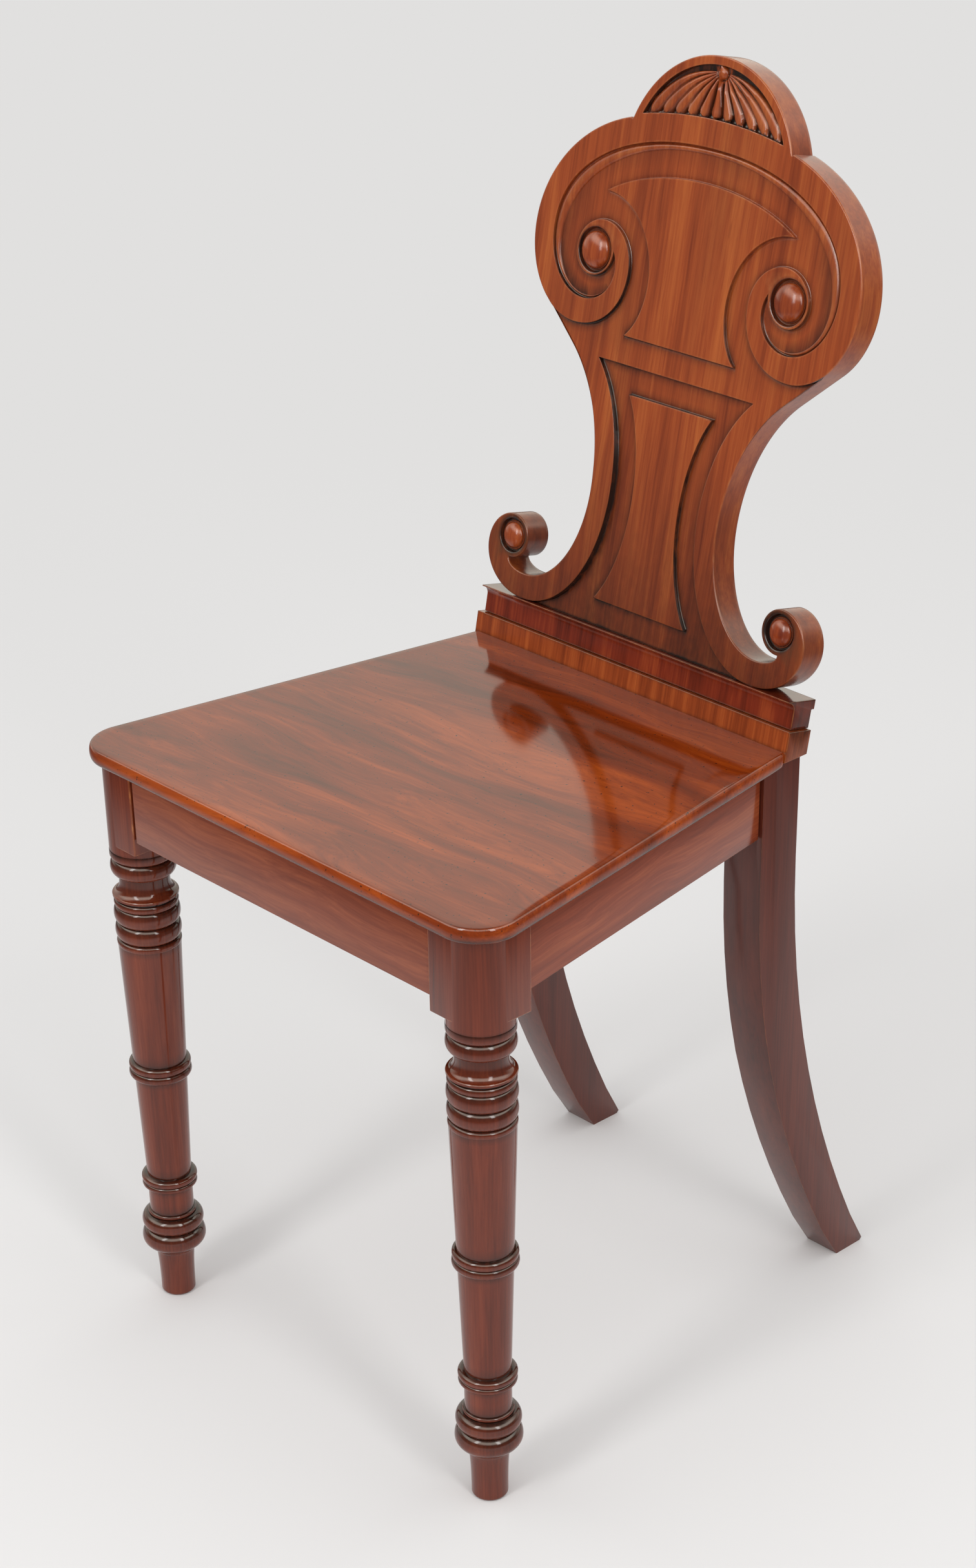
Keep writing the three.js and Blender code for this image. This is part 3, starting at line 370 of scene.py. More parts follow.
def paint(mesh: Mesh, domain: str, values: dict[str, Sequence[float]]) -> None:
    """Stores painted values as attributes of a mesh, in place of any that have their names.

    Args:
        mesh: The mesh.
        domain: What each value belongs to, such as POINT or FACE.
        values: The values by the names of their attributes.
    """
    for label, painted in values.items():
        if label in mesh.attributes:
            mesh.attributes.remove(mesh.attributes[label])
        mesh.attributes.new(label, "FLOAT", domain).data.foreach_set("value", painted)


def shaded(mesh: Mesh, sharp: float, smooth: Sequence[bool] | None = None) -> Mesh:
    """Shades a mesh.

    Args:
        mesh: The mesh.
        sharp: Angle in degrees past which an edge is shaded sharp.
        smooth: Which faces are shaded smooth, or None for all.

    Returns:
        The same mesh.
    """
    mesh.polygons.foreach_set("use_smooth", smooth or [True] * len(mesh.polygons))
    mesh.set_sharp_from_angle(angle=math.radians(sharp))
    return mesh


def outwards(mesh: Mesh) -> None:
    """Turns the faces of a closed mesh outwards and drops vertices that bear no face.

    Args:
        mesh: The mesh, which is changed.
    """
    work = bmesh.new()
    work.from_mesh(mesh)
    bmesh.ops.delete(work, geom=[v for v in work.verts if not v.link_faces], context="VERTS")
    bmesh.ops.recalc_face_normals(work, faces=work.faces)
    work.to_mesh(mesh)
    work.free()
    mesh.update()


def to_frame(points: Array) -> Array:
    """Turns millimetres from the front legs' axes to millimetres in the shared frame."""
    return points + (0.0, LEG_LINE_Y, 0.0)


def levelled(outline: Array, level: Array | float) -> Array:
    """Turns an outline at a level, or at one for each point, to places in the shared frame."""
    return to_frame(np.column_stack([outline, np.broadcast_to(level, len(outline))]))


def on_back(x: Array | float, height: Array | float, depth: Array | float) -> Array:
    """Turns places on the back to the shared frame.

    Args:
        x: Distance from the middle.
        height: Height above the seat along the rake.
        depth: Depth behind the back's front plane, square to it.

    Returns:
        The places in millimetres in the shared frame.
    """
    y = SEAT_DEPTH + height * math.sin(RAKE) + depth * math.cos(RAKE)
    z = SEAT_HEIGHT + height * math.cos(RAKE) - depth * math.sin(RAKE)
    return to_frame(np.stack(np.broadcast_arrays(x, y, z), -1))


def piece(name: str, mesh: Mesh, finishes: Sequence[Material], slot: str, node: str) -> None:
    """Puts a finished mesh into the scene, riding on the chair's one body.

    Args:
        name: The piece's name.
        mesh: Its mesh.
        finishes: Its materials, in the order of their slots.
        slot: The group of like pieces that it belongs to; not used.
        node: The solid that it replaces.
    """
    mesh.materials.clear()
    for finish in finishes:
        mesh.materials.append(finish)
    made = bpy.data.objects.new(name, mesh)
    bpy.context.scene.collection.objects.link(made)
    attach(made, BODY)
    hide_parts(node)
    log.info("%s: %d faces", name, len(mesh.polygons))


def evaluated(
    mesh: Mesh, kind: str, settings: dict[str, object], inputs: dict[str, object] | None = None
) -> Mesh:
    """Runs one modifier on a mesh.

    Args:
        mesh: The mesh to start from.
        kind: The modifier's type.
        settings: The modifier's own properties.
        inputs: Values for the inputs of its tree, by their names.

    Returns:
        The result as a plain mesh.
    """
    passing = bpy.data.objects.new("passing", mesh)
    bpy.context.scene.collection.objects.link(passing)
    modifier = passing.modifiers.new("passing", kind)
    for name, value in settings.items():
        setattr(modifier, name, value)
    for item in modifier.node_group.interface.items_tree if inputs else ():
        if item.in_out == "INPUT" and item.name in inputs:
            modifier[item.identifier] = inputs[item.name]
    depsgraph = bpy.context.evaluated_depsgraph_get()
    result = bpy.data.meshes.new_from_object(passing.evaluated_get(depsgraph))
    bpy.data.objects.remove(passing)
    return result


def eased(mesh: Mesh, width: float) -> Mesh:
    """Rounds the arrises of a mesh and paints them as worn.

    Args:
        mesh: The mesh.
        width: Width of the rounding in millimetres.

    Returns:
        The eased mesh.
    """
    mesh.materials.clear()
    for _ in range(2):
        mesh.materials.append(None)
    # The bevel marks its own faces by the second material slot.
    result = evaluated(mesh, "BEVEL", {
        "width": width * MM, "segments": 3, "limit_method": "ANGLE",
        "angle_limit": math.radians(35), "material": 1, "miter_outer": "MITER_ARC",
    })
    rounded = np.zeros(len(result.polygons), int)
    result.polygons.foreach_get("material_index", rounded)
    paint(result, "FACE", {"wear": rounded.astype(np.float32)})
    result.polygons.foreach_set("material_index", np.zeros_like(rounded))
    return shaded(result, 28)


def fair_copy(node: str) -> Mesh:
    """Copies a node's mesh, with its loose triangles joined into flat faces.

    Args:
        node: The solid's name.

    Returns:
        The copy.
    """
    work = bmesh.new()
    work.from_mesh(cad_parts[node].data)
    bmesh.ops.remove_doubles(work, verts=work.verts, dist=2e-6)
    bmesh.ops.dissolve_limit(
        work, angle_limit=math.radians(1), verts=work.verts, edges=work.edges
    )
    mesh = bpy.data.meshes.new(node)
    work.to_mesh(mesh)
    work.free()
    return mesh


# Nodes and finishes


def add_node(
    tree: bpy.types.NodeTree, kind: str, inputs: dict | Sequence = (), out: str | int = 0, **settings
) -> Socket | None:
    """Adds one node with its settings, values and links.

    Args:
        tree: The tree that takes the node.
        kind: The node's type.
        inputs: Values, or the sockets that feed them, in order or by socket name or number.
        out: The output that is wanted.
        settings: The node's own properties.

    Returns:
        That output, or None from a node that has none.
    """
    made = tree.nodes.new(kind)
    for name, value in settings.items():
        setattr(made, name, value)
    for key, value in inputs.items() if isinstance(inputs, dict) else enumerate(inputs):
        if isinstance(value, Socket):
            tree.links.new(value, made.inputs[key])
        else:
            made.inputs[key].default_value = value
    return made.outputs[out] if made.outputs else None


def emptied(owner: Material | bpy.types.World) -> bpy.types.NodeTree:
    """Clears the nodes of a material or world.

    Args:
        owner: The material or world.

    Returns:
        Its empty tree.
    """
    owner.use_nodes = True
    owner.node_tree.nodes.clear()
    return owner.node_tree


def marks(
    add: Callable, place: Socket, size: Sequence[float], detail: float, out: str = "Fac"
) -> Socket:
    """Adds noise whose marks have a real size.

    Args:
        add: Adds a node to the tree.
        place: Coordinates in millimetres, with the grain along X.
        size: Length and width of a mark in millimetres.
        detail: How fine the noise goes below that.
        out: The noise's output.

    Returns:
        The noise.
    """
    scale = (1 / size[0], 1 / size[1], 1 / size[1])
    stretched = add("ShaderNodeMapping", {"Vector": place, "Scale": scale})
    return add("ShaderNodeTexNoise", {"Vector": stretched, "Scale": 1.0, "Detail": detail}, out)


def linear(colour: str) -> tuple[float, float, float, float]:
    """Turns an sRGB hex colour to linear values."""
    parts = [int(colour[i : i + 2], 16) / 255 for i in (1, 3, 5)]
    return (*(c / 12.92 if c <= 0.04045 else ((c + 0.055) / 1.055) ** 2.4 for c in parts), 1.0)


def toned(ramp: Socket, stops: Sequence[float], colours: Sequence[str]) -> Socket:
    """Sets the stops of a colour ramp.

    Args:
        ramp: The ramp's output.
        stops: The places of its stops.
        colours: The sRGB hex colour at each stop.

    Returns:
        The same output.
    """
    elements = ramp.node.color_ramp.elements
    for stop in stops[1:-1]:
        elements.new(stop)
    for element, stop, colour in zip(elements, stops, colours):
        element.position, element.color = stop, linear(colour)
    return ramp


@dataclass(frozen=True)
class Mahogany:
    """Cuban mahogany, planed or turned, stained and French polished with shellac.

    The grain shows as long streaks in slightly different browns with short dark pores, under a
    thin glossy coat that mirrors what stands on it. Grime with painted shade, and wear with
    painted highlights, are painted on the meshes.

    Attributes:
        tones: The streaks' dark, middle and light colour.
        grain: Direction of the grain, as turns in degrees that bring it to X.
        layers: Length and width of a layer's streaks in millimetres, and its share.
        contrast: How far the dark and light tone lie from the middle one. Less is stronger.
        figure: How far the streaks wander in millimetres, and over what length.
        blotch: How strongly wide patches differ in tone.
        pore: Strength of the pores.
        pits: Strength of small dark knocks and ink specks.
        darken: Strength of the wide patches where old wax has darkened.
        roughness, gloss, gloss_roughness: The wood's roughness and its coat of polish.
        wear_colour: The wood where the stain is rubbed off, also used for painted highlights.
        grime_colour: Old wax and dust in the hollows, also used for painted shade.
    """

    name: str
    tones: tuple[str, str, str]
    grain: Place = (0.0, 90.0, 0.0)
    layers: tuple[Place, ...] = ((300, 26, 0.4), (150, 6, 0.32), (60, 1.5, 0.28))
    contrast: float = 0.17
    figure: Point = (1.2, 240.0)
    blotch: float = 0.12
    pore: float = 0.35
    pits: float = 0.0
    soil: float = 0.3
    roughness: float = 0.4
    gloss: float = 1.0
    gloss_roughness: float = 0.12
    wear_colour: str = "#b3703f"
    grime_colour: str = "#1f120d"

    def build(self) -> Material:
        """Makes the material.

        Returns:
            The material.
        """
        material = bpy.data.materials.new(self.name)
        add = partial(add_node, emptied(material))
        place = add("ShaderNodeTexCoord", out="Object")
        turns = [math.radians(angle) for angle in self.grain]
        plank = add(
            "ShaderNodeMapping", {"Vector": place, "Rotation": turns, "Scale": (1 / MM,) * 3}
        )
        # A slow warp makes the streaks wander. Noise strays about a sixth from its middle value.
        wander, length = self.figure
        warp = marks(add, plank, (length, length / 3), 2.0, "Color")
        grown = add("ShaderNodeVectorMath", (warp, (wander * 6,) * 3, plank),
                    operation="MULTIPLY_ADD")
        tone: Socket | float = 0.0
        for *size, share in self.layers:
            streak = marks(add, grown, size, 3.0)
            tone = add("ShaderNodeMath", (streak, share, tone), operation="MULTIPLY_ADD")
        stops = (0.5 - self.contrast, 0.5, 0.5 + self.contrast)
        wood = toned(add("ShaderNodeValToRGB", (tone,)), stops, self.tones)
        patch = marks(add, plank, (150, 36), 4.0)
        dim, bright = 1 - self.blotch, 1 + self.blotch * 0.6
        shade = add("ShaderNodeMapRange", (patch, 0.3, 0.7, dim, bright))
        wood = add("ShaderNodeVectorMath", {0: wood, "Scale": shade}, operation="SCALE")
        # Real pores are a third as wide, too fine to show, so they are drawn coarser.
        pores = marks(add, grown, (16, 0.6), 2.0)
        open_pore = add("ShaderNodeMapRange", (pores, 0.58, 0.72, 0.0, self.pore))
        knocks = marks(add, plank, (1 / 0.42, 1 / 0.42), 1.0)
        pitted = add("ShaderNodeMapRange", (knocks, 0.7, 0.75, 0.0, self.pits))
        # The wear colour also lays on painted highlights, and the grime colour painted shade.
        rubbed_and_highlit, dirt_and_shade = self.age(add, plank, patch)
        layers = ((open_pore, self.tones[0]), (pitted, self.grime_colour),
                  (rubbed_and_highlit, self.wear_colour), (dirt_and_shade, self.grime_colour))
        for amount, colour in layers:
            wood = add("ShaderNodeMix", {0: amount, 6: wood, 7: linear(colour)}, 2, data_type="RGBA")
        rough = add("ShaderNodeMath", (dirt_and_shade, 0.25, self.roughness), operation="MULTIPLY_ADD",
                    use_clamp=True)
        relief = add("ShaderNodeMath", (pores, -0.5, tone), operation="MULTIPLY_ADD")
        uneven = add("ShaderNodeBump", {"Height": relief, "Strength": 0.2, "Distance": 0.12 * MM})
        # The coat alone mirrors on polished wood, or the stain beneath it would look pale.
        surface = add("ShaderNodeBsdfPrincipled", {
            "Base Color": wood, "Roughness": rough, "Normal": uneven, "IOR": 1.5,
            "Specular IOR Level": 0.5 * (1 - self.gloss), "Coat Weight": self.gloss,
            "Coat Roughness": self.gloss_roughness, "Coat IOR": 1.5,
        })
        add("ShaderNodeOutputMaterial", {"Surface": surface})
        return material

    def age(self, add: Callable, plank: Socket, patch: Socket) -> tuple[Socket, Socket]:
        """Breaks up the painted wear and grime, with the painted highlights and shade they carry, as
        hands and dusters leave them.

        Args:
            add: Adds a node to the tree.
            plank: Coordinates in millimetres, with the grain along X.
            patch: The noise of the wide patches.

        Returns:
            How far the wood takes the wear colour, as wear and painted highlight, and the grime colour,
            as dirt and painted shade.
        """
        speckle = marks(add, plank, (9, 4), 4.0)
        worn_and_highlit = add("ShaderNodeAttribute", out="Fac", attribute_name="wear")
        thin = add("ShaderNodeMapRange", (speckle, 0.44, 0.64, 0.15, 0.6))
        rubbed_and_highlit = add("ShaderNodeMath", (worn_and_highlit, thin), operation="MULTIPLY", use_clamp=True)
        held = add("ShaderNodeAttribute", out="Fac", attribute_name="grime")
        broken_up = add("ShaderNodeMapRange", (speckle, 0.35, 0.6, 0.82, 1.05))
        dimmed = add("ShaderNodeMapRange", (patch, 0.45, 0.75, 0.0, self.soil))
        dirt_and_shade = add("ShaderNodeMath", (held, broken_up, dimmed), operation="MULTIPLY_ADD", use_clamp=True)
        return rubbed_and_highlit, dirt_and_shade


@dataclass(frozen=True)
class PlainFinish:
    """A sawn or filed surface with a mottled colour and no polish.

    Attributes:
        tones: The mottle's dark and light colour.
        mark: Length and width of a mark in millimetres.
        roughness, metallic: The surface.
    """

    name: str
    tones: tuple[str, str]
    mark: Point
    roughness: float
    metallic: float = 0.0

    def build(self) -> Material:
        """Makes the material.

        Returns:
            The material.
        """
        material = bpy.data.materials.new(self.name)
        add = partial(add_node, emptied(material))
        place = add("ShaderNodeTexCoord", out="Object")
        sized = add("ShaderNodeMapping", {"Vector": place, "Scale": (1 / MM,) * 3})
        mottle = marks(add, sized, self.mark, 5.0)
        colour = toned(add("ShaderNodeValToRGB", (mottle,)), (0.35, 0.65), self.tones)
        uneven = add("ShaderNodeBump", {"Height": mottle, "Strength": 0.4, "Distance": 0.2 * MM})
        surface = add("ShaderNodeBsdfPrincipled", {
            "Base Color": colour, "Roughness": self.roughness, "Metallic": self.metallic,
            "Normal": uneven,
        })
        add("ShaderNodeOutputMaterial", {"Surface": surface})
        return material


UPRIGHT = (0.0, 90.0, 0.0)
ALONG = (0.0, 0.0, 0.0)
RAKED = (math.degrees(RAKE), 90.0, 0.0)

# A mellow red brown with a soft veil of light, calmer than the seat.
RAIL = Mahogany(
    "polished_mahogany_front_rail", ("#5c2616", "#7b3a24", "#985132"), ALONG,
    figure=(5.0, 160.0), contrast=0.22, gloss_roughness=0.14,
)

FINISHES = {
    # Wide, wandering bands of orange and brown under the glassiest polish, with old ink specks.
    "seat": Mahogany(
        "polished_mahogany_seat", ("#571f06", "#7f2f08", "#ab4b12"), (0.0, 0.0, -3.0),
        layers=((280, 56, 0.52), (170, 14, 0.28), (80, 2.4, 0.2)), contrast=0.15,
        figure=(11.0, 200.0), blotch=0.24, pore=0.4, pits=0.9, gloss_roughness=0.09,
        wear_colour="#85431b",
    ),
    # Dull and dry, since the underside was never polished.
    "seat_under": Mahogany(
        "planed_mahogany_underside", ("#4e2a1a", "#6a3d26", "#7c4c31"), ALONG, roughness=0.65,
        gloss=0.0,
    ),
    # Warm orange brown in upright streaks. The coat is softer, as wax has filled the carving.
    "back": Mahogany(
        "carved_mahogany_front", ("#6f2a10", "#95421b", "#b05c28"), RAKED, gloss=0.85,
        gloss_roughness=0.2,
    ),
    # A thin stain over planed wood, almost without a shine.
    "back_rear": Mahogany(
        "stained_mahogany_rear", ("#4a2617", "#62341f", "#744229"), RAKED, roughness=0.5,
        gloss=0.2, gloss_roughness=0.3,
    ),
    # Clean red brown domes that each hold one soft glint.
    "boss": Mahogany(
        "turned_mahogany_boss", ("#602110", "#8a3b1b", "#a55226"), RAKED, pore=0.2, soil=0.0,
        gloss_roughness=0.2,
    ),
    # Short upright stripes, because the grain of this strip stands on end.
    "lower_plinth": Mahogany(
        "veneered_mahogany_fillet", ("#60240e", "#93421c", "#b75f2c"), RAKED,
        layers=((120, 17, 0.5), (90, 5, 0.28), (40, 1.4, 0.22)), contrast=0.16,
        gloss_roughness=0.12, soil=0.2,
    ),
    # The same stripes in a deeper red.
    "upper_plinth": Mahogany(
        "moulded_mahogany_plinth", ("#521a0d", "#7c2c17", "#a04822"), RAKED,
        layers=((90, 19, 0.5), (90, 6, 0.28), (40, 1.6, 0.22)), contrast=0.16, soil=0.2,
        gloss_roughness=0.1,
    ),
    "rail": RAIL,
    # Dark red brown with fine straight grain and long glints down the turning.
    "legs": Mahogany(
        "turned_mahogany_leg", ("#45190d", "#682a17", "#823c23"), UPRIGHT, pore=0.3,
        contrast=0.22, gloss_roughness=0.12,
    ),
    # The darkest wood of the chair, with a thinner coat: a darker copy of the leg finish, partly
    # painted shade for the rear legs, which stand in shade under the seat.
    "rear_legs_shaded": Mahogany(
        "sawn_mahogany_leg", ("#3b140a", "#562012", "#6c2c19"), UPRIGHT, pore=0.3,
        contrast=0.22, gloss=0.5, gloss_roughness=0.14,
    ),
    # Pale bare softwood.
    "deal": PlainFinish("sawn_deal", ("#8d6b45", "#b08c5f"), (60, 4), 0.8),
    # Dark grey metal with a dull shine.
    "iron": PlainFinish("filed_iron", ("#2b2724", "#4a443f"), (3, 3), 0.55, 0.9),
}


def build_looks() -> Looks:
    """Makes every finish, for each side rail one with the grain along it.

    Returns:
        The materials by their labels.
    """
    finishes: dict[str, Mahogany | PlainFinish] = dict(FINISHES)
    for side in Side:
        finishes[f"{side.word}_side_rail"] = replace(
            RAIL, name=f"polished_mahogany_{side.word}_rail",
            tones=("#5f2512", "#80381f", "#9e522e"),
            grain=(0.0, 0.0, 90.0 - math.degrees(SPLAY) * side.value),
        )
    return {label: finish.build() for label, finish in finishes.items()}


# Back board


@dataclass
class Relief:
    """What the carving does at each of many places on the back.

    Attributes:
        depth: Depth behind the front plane.
        grime, wear: The painted values, grime with painted shade and wear with painted highlight.
    """

    depth: Array
    grime: Array
    wear: Array

    def step(
        self, high: Array | float, low: Array | float, signed: Array, dirt_and_shade: float = 1.0,
        reach: float = 4.0,
    ) -> None:
        """Cuts or raises a wall along a line.

        Args:
            high: Depth on the high side.
            low: Depth on the low side.
            signed: Distance from the line, above 0 on the low side.
            dirt_and_shade: How much grime and painted shade the foot of the wall holds.
            reach: How far the grime and painted shade spread from the wall.
        """
        # The wall is eased at its top and has a small fillet at its foot.
        share = np.interp(
            signed, [-0.5, -0.15, 0.0, 0.25, 0.6, 1.0], [0.0, 0.04, 0.14, 0.84, 0.96, 1.0]
        )
        self.depth = high + (low - high) * share
        # The wall and its foot are painted dark, as grime and as painted shade, and the arris over it
        # lighter, as wear and as a painted highlight.
        away = np.maximum(signed - 0.2, 0)
        foot = 0.6 * dirt_and_shade * np.exp(-((away / reach) ** 1.5)) + 0.4 * np.exp(-away / 0.6)
        lip = (0.6 * dirt_and_shade + 0.4) * np.exp(np.minimum(signed, 0) / 0.12)
        self.soil(np.where(signed > 0, foot, lip))
        self.rub(np.where(signed < 0, np.exp(-((signed + 0.35) ** 2) / 0.04), 0))

    def soil(self, grime: Array) -> None:
        """Adds grime and painted shade to what is there."""
        self.grime = 1 - (1 - self.grime) * (1 - grime)

    def rub(self, wear: Array) -> None:
        """Adds wear and painted highlight where there is less of it."""
        self.wear = np.maximum(self.wear, wear)


@dataclass
class BackBoard:
    """The back: one board, cut to its outline and carved in relief on its front.

    Points are a half width from the middle and a height from the seat along the rake. Levels
    are depths behind the front plane.
    """

    thickness: float = 21.5
    foot: float = 34.7
    arris: float = 0.9
    beyond_edge: float = 160.0

    # The curled foot and its throat, measured from the curl's middle.
    curl: Point = (128.0, 76.0)
    curl_radius: float = 15.5
    curl_end: float = math.radians(275)
    curl_foot: float = -16.0
    curl_edge: Point = (23.0, -9.0)
    throat: Point = (-16.5, -23.7)

    # The waist, the lobe and the crest.
    waist: Point = (59.5, 128.0)
    waist_head: Point = (98.3, 219.0)
    waist_share: float = 0.62
    lobe: Point = (147.0, 289.0)
    lobe_foot: Point = (98.0, 232.7)
    free_share: float = 0.6
    shoulder: Point = (40.0, 376.1)
    crest: Point = (0.0, 346.0)
    crest_radius: float = 75.0

    # The scroll and the volute's wall, measured from the middle of the lobe and of the volute.
    volute: Point = (88.0, 282.7)
    scroll_rise: float = 75.0
    scroll_side: Point = (-18.0, 1.5)
    scroll_foot: Point = (5.0, -32.9)
    scroll_back: Point = (-21.0, -9.7)
    scroll_tip: Point = (-17.6, 1.8)
    scroll_share: float = 0.473
    volute_turns: tuple[Point, ...] = ((1, -16.7), (17, -0.7), (-6, 20.9), (-33.6, -8.2), (10, -50))
    ground: float = 2.2
    neck_top: float = 226.0
    neck_fade: float = 140.0

    # The roll beside the scroll.
    roll_groove: float = 1.2
    roll_wide: float = 8.0
    roll_top: float = 3.3
    roll_height: float = 1.7

    # The raised upper panel.
    panel_level: float = 0.3
    panel_rise: float = 52.8
    panel_end: Point = (108.0, 2.0)
    panel_horn: float = 84.5
    panel_narrow: Point = (35.6, 270.0)
    panel_foot: Point = (50.8, 232.8)
    panel_share: float = 0.693

    # The sunk field of the waist and the panel in it.
    sunk: float = 4.7
    sunk_foot: float = 109.0
    sunk_waist: Point = (41.0, 130.0)
    sunk_top: Point = (71.4, 214.0)
    sunk_share: float = 0.635
    inner_level: float = 1.9
    inner_foot: Point = (43.7, 53.0)
    inner_waist: Point = (21.6, 128.0)
    inner_top: Point = (38.6, 195.7)
    inner_shares: Point = (0.604, 0.59)

    # The shallow hollow that runs along the foot of a wall.
    hollow: float = 3.0
    hollow_depth: float = 0.9

    # The fan, its reeds and its bud.
    fan_level: float = 4.2
    fan_radius: float = 69.2
    fan_rise: float = 36.0
    fan_tip_rise: float = 30.0
    reeds: int = 11
    reed_gap: float = 0.7
    reed_rise: float = 3.5
    bud_radius: float = 4.4

    # Radius and level of the bosses' seats, and how steep their walls are.
    upper_seat: Point = (15.1, 3.2)
    lower_seat: Point = (12.3, 3.4)
    seat_slope: float = 0.24

    def __post_init__(self) -> None:
        """Draws the lines of the right half."""
        under = quarter(self.lobe, self.lobe_foot, False)
        free = math.ceil((len(under) - 1) * self.free_share)
        self.outline = self.outer_line(under[: free + 1][::-1])
        tip, turn, *turns = (self.from_volute(way) for way in (self.scroll_tip, *self.volute_turns))
        side = (self.lobe[0] + self.scroll_side[0], self.lobe[1] + self.scroll_side[1])
        foot, back = self.from_volute(self.scroll_foot), self.from_volute(self.scroll_back)
        self.scroll = chain(
            quarter((0.0, self.lobe[1] + self.scroll_rise), side, True, fullness=0.93),
            quarter(side, foot, False),
            quarter(foot, back, True),
            cut_quarter(back, tip, self.scroll_share),
        )
        self.volute_line = chain(
            quarter(tip, turn, False),
            quarter(turn, turns[0], True),
            quarter(turns[0], turns[1], False),
            quarter(turns[1], turns[2], True),
            quarter(turns[2], turns[3], False, fullness=0.95),
            under[free:][::-1],
        )
        self.panel = self.panel_line()
        self.sunk_line = chain(
            quarter((self.sunk_foot, self.foot), self.sunk_waist, True),
            cut_quarter(self.sunk_waist, self.sunk_top, self.sunk_share),
            straight(self.sunk_top, (0.0, self.sunk_top[1])),
        )
        low, high = self.inner_shares
        self.inner_line = chain(
            straight((0.0, self.inner_foot[1]), self.inner_foot),
            cut_quarter(self.inner_waist, self.inner_foot, low)[::-1],
            cut_quarter(self.inner_waist, self.inner_top, high),
            straight(self.inner_top, (0.0, self.inner_top[1])),
        )
        self.fan_half = math.sqrt(self.fan_radius**2 - self.fan_tip_rise**2)
        tip_angle = math.atan2(self.fan_tip_rise, self.fan_half)
        self.fan_edge = chain(
            np.array([(x, self.fan_foot(x)) for x in np.linspace(0, self.fan_half, 40)]),
            arc(self.crest, self.fan_radius, tip_angle, math.pi / 2),
        )
        self.bud = (self.crest[0], self.crest[1] + self.fan_radius - self.bud_radius)
        self.reed_lines = [self.reed_line(i) for i in range(self.reeds // 2 + 1)]

    def from_volute(self, way: Point) -> Point:
        """A place measured from the middle of the volute's boss."""
        return (self.volute[0] + way[0], self.volute[1] + way[1])

    def outer_line(self, lobe_underside: Array) -> Array:
        """Draws the board's outline, from the middle of its foot to the top of the crest.

        Args:
            lobe_underside: The part of the lobe's lower curve that is free of the volute.

        Returns:
            The points along it.
        """
        cx, cy = self.curl
        round_curl = arc(self.curl, self.curl_radius, math.pi / 2, self.curl_end)
        foot = (cx + self.curl_foot, self.foot)
        edge = (cx + self.curl_edge[0], cy + self.curl_edge[1])
        throat = (cx + self.throat[0], cy + self.throat[1])
        upper = quarter(self.lobe, self.shoulder, False)
        upper = upper[np.hypot(*(upper - self.crest).T) > self.crest_radius + CHORD / 2]
        # The crest's circle starts where the lobe's upper curve meets it.
        start = math.atan2(upper[-1][1] - self.crest[1] - 0.3, upper[-1][0])
        return chain(
            straight((0, self.foot), foot),
            quarter(foot, edge, True),
            quarter(edge, (cx, cy + self.curl_radius), False),
            round_curl,
            quarter(round_curl[-1], throat, False),
            quarter(throat, self.waist, True),
            cut_quarter(self.waist, self.waist_head, self.waist_share),
            lobe_underside,
            upper,
            arc(self.crest, self.crest_radius, start, math.pi / 2),
        )

    def panel_line(self) -> Array:
        """Draws the edge of the raised upper panel.

        Returns:
            The points along it, from the middle of its top to the middle of its foot.
        """
        top, end = self.lobe[1] + self.panel_rise, (self.panel_end[0], self.lobe[1] + self.panel_end[1])
        fall = math.sqrt(1 - (self.panel_horn / end[0]) ** 2)
        horn = (self.panel_horn, end[1] + (top - end[1]) * fall)
        arch = quarter((0.0, top), end, True)
        return chain(
            arch[arch[:, 0] < self.panel_horn - CHORD / 2],
            quarter(horn, self.panel_narrow, True),
            cut_quarter(self.panel_narrow, self.panel_foot, self.panel_share),
            straight(self.panel_foot, (0.0, self.panel_foot[1])),
        )

    def fan_foot(self, x: float) -> float:
        """Works out the arched line on which the reeds end.

        Args:
            x: Distance from the middle.

        Returns:
            The height there.
        """
        sag = self.fan_rise - self.fan_tip_rise
        radius = (self.fan_half**2 + sag**2) / sag / 2
        return self.crest[1] + self.fan_rise - radius + math.sqrt(radius**2 - x**2)

    def reed_line(self, number: int) -> Array:
        """Draws the middle line of one reed, from its foot to the bud.

        Args:
            number: The reed's number, counted from the middle one.

        Returns:
            The points along it.
        """
        across = number * 2 * self.fan_half / self.reeds
        foot = np.array([across, self.fan_foot(across) + 0.3])
        head = np.array([self.bud_radius * 0.4 * (number > 0), self.bud[1]])
        climb = head[1] - foot[1]
        # Outer reeds bend more, so that they follow the arch.
        lift = (across / self.fan_radius) ** 2 * climb * 0.68
        bend = np.array([across * 0.62, foot[1] + climb * 0.5 + lift])
        t = np.linspace(0, 1, 26)[:, None]
        return foot * (1 - t) ** 2 + bend * 2 * t * (1 - t) + head * t**2

    def reed_half(self, along: Array) -> Array:
        """Works out half the width of a reed.

        Args:
            along: Shares of the reed's length, from its foot.

        Returns:
            The half width at each.
        """
        shares = [0, 0.02, 0.05, 0.11, 0.3, 0.5, 0.7, 0.87, 1]
        width_shares = [0.3, 0.62, 0.86, 1, 0.78, 0.57, 0.35, 0.17, 0.07]
        return np.interp(along, shares, width_shares) * (self.fan_half / self.reeds - self.reed_gap)

    def roll_width(self, along: Array) -> Array:
        """Works out how wide the roll is.

        Args:
            along: Shares of the scroll's points.

        Returns:
            The width there: wide along the side, thin at the top and nothing at the tip.
        """
        lengths = np.concatenate([[0], np.hypot(*np.diff(self.scroll, axis=0).T).cumsum()])
        even = np.interp(along, np.linspace(0, 1, len(lengths)), lengths / lengths[-1])
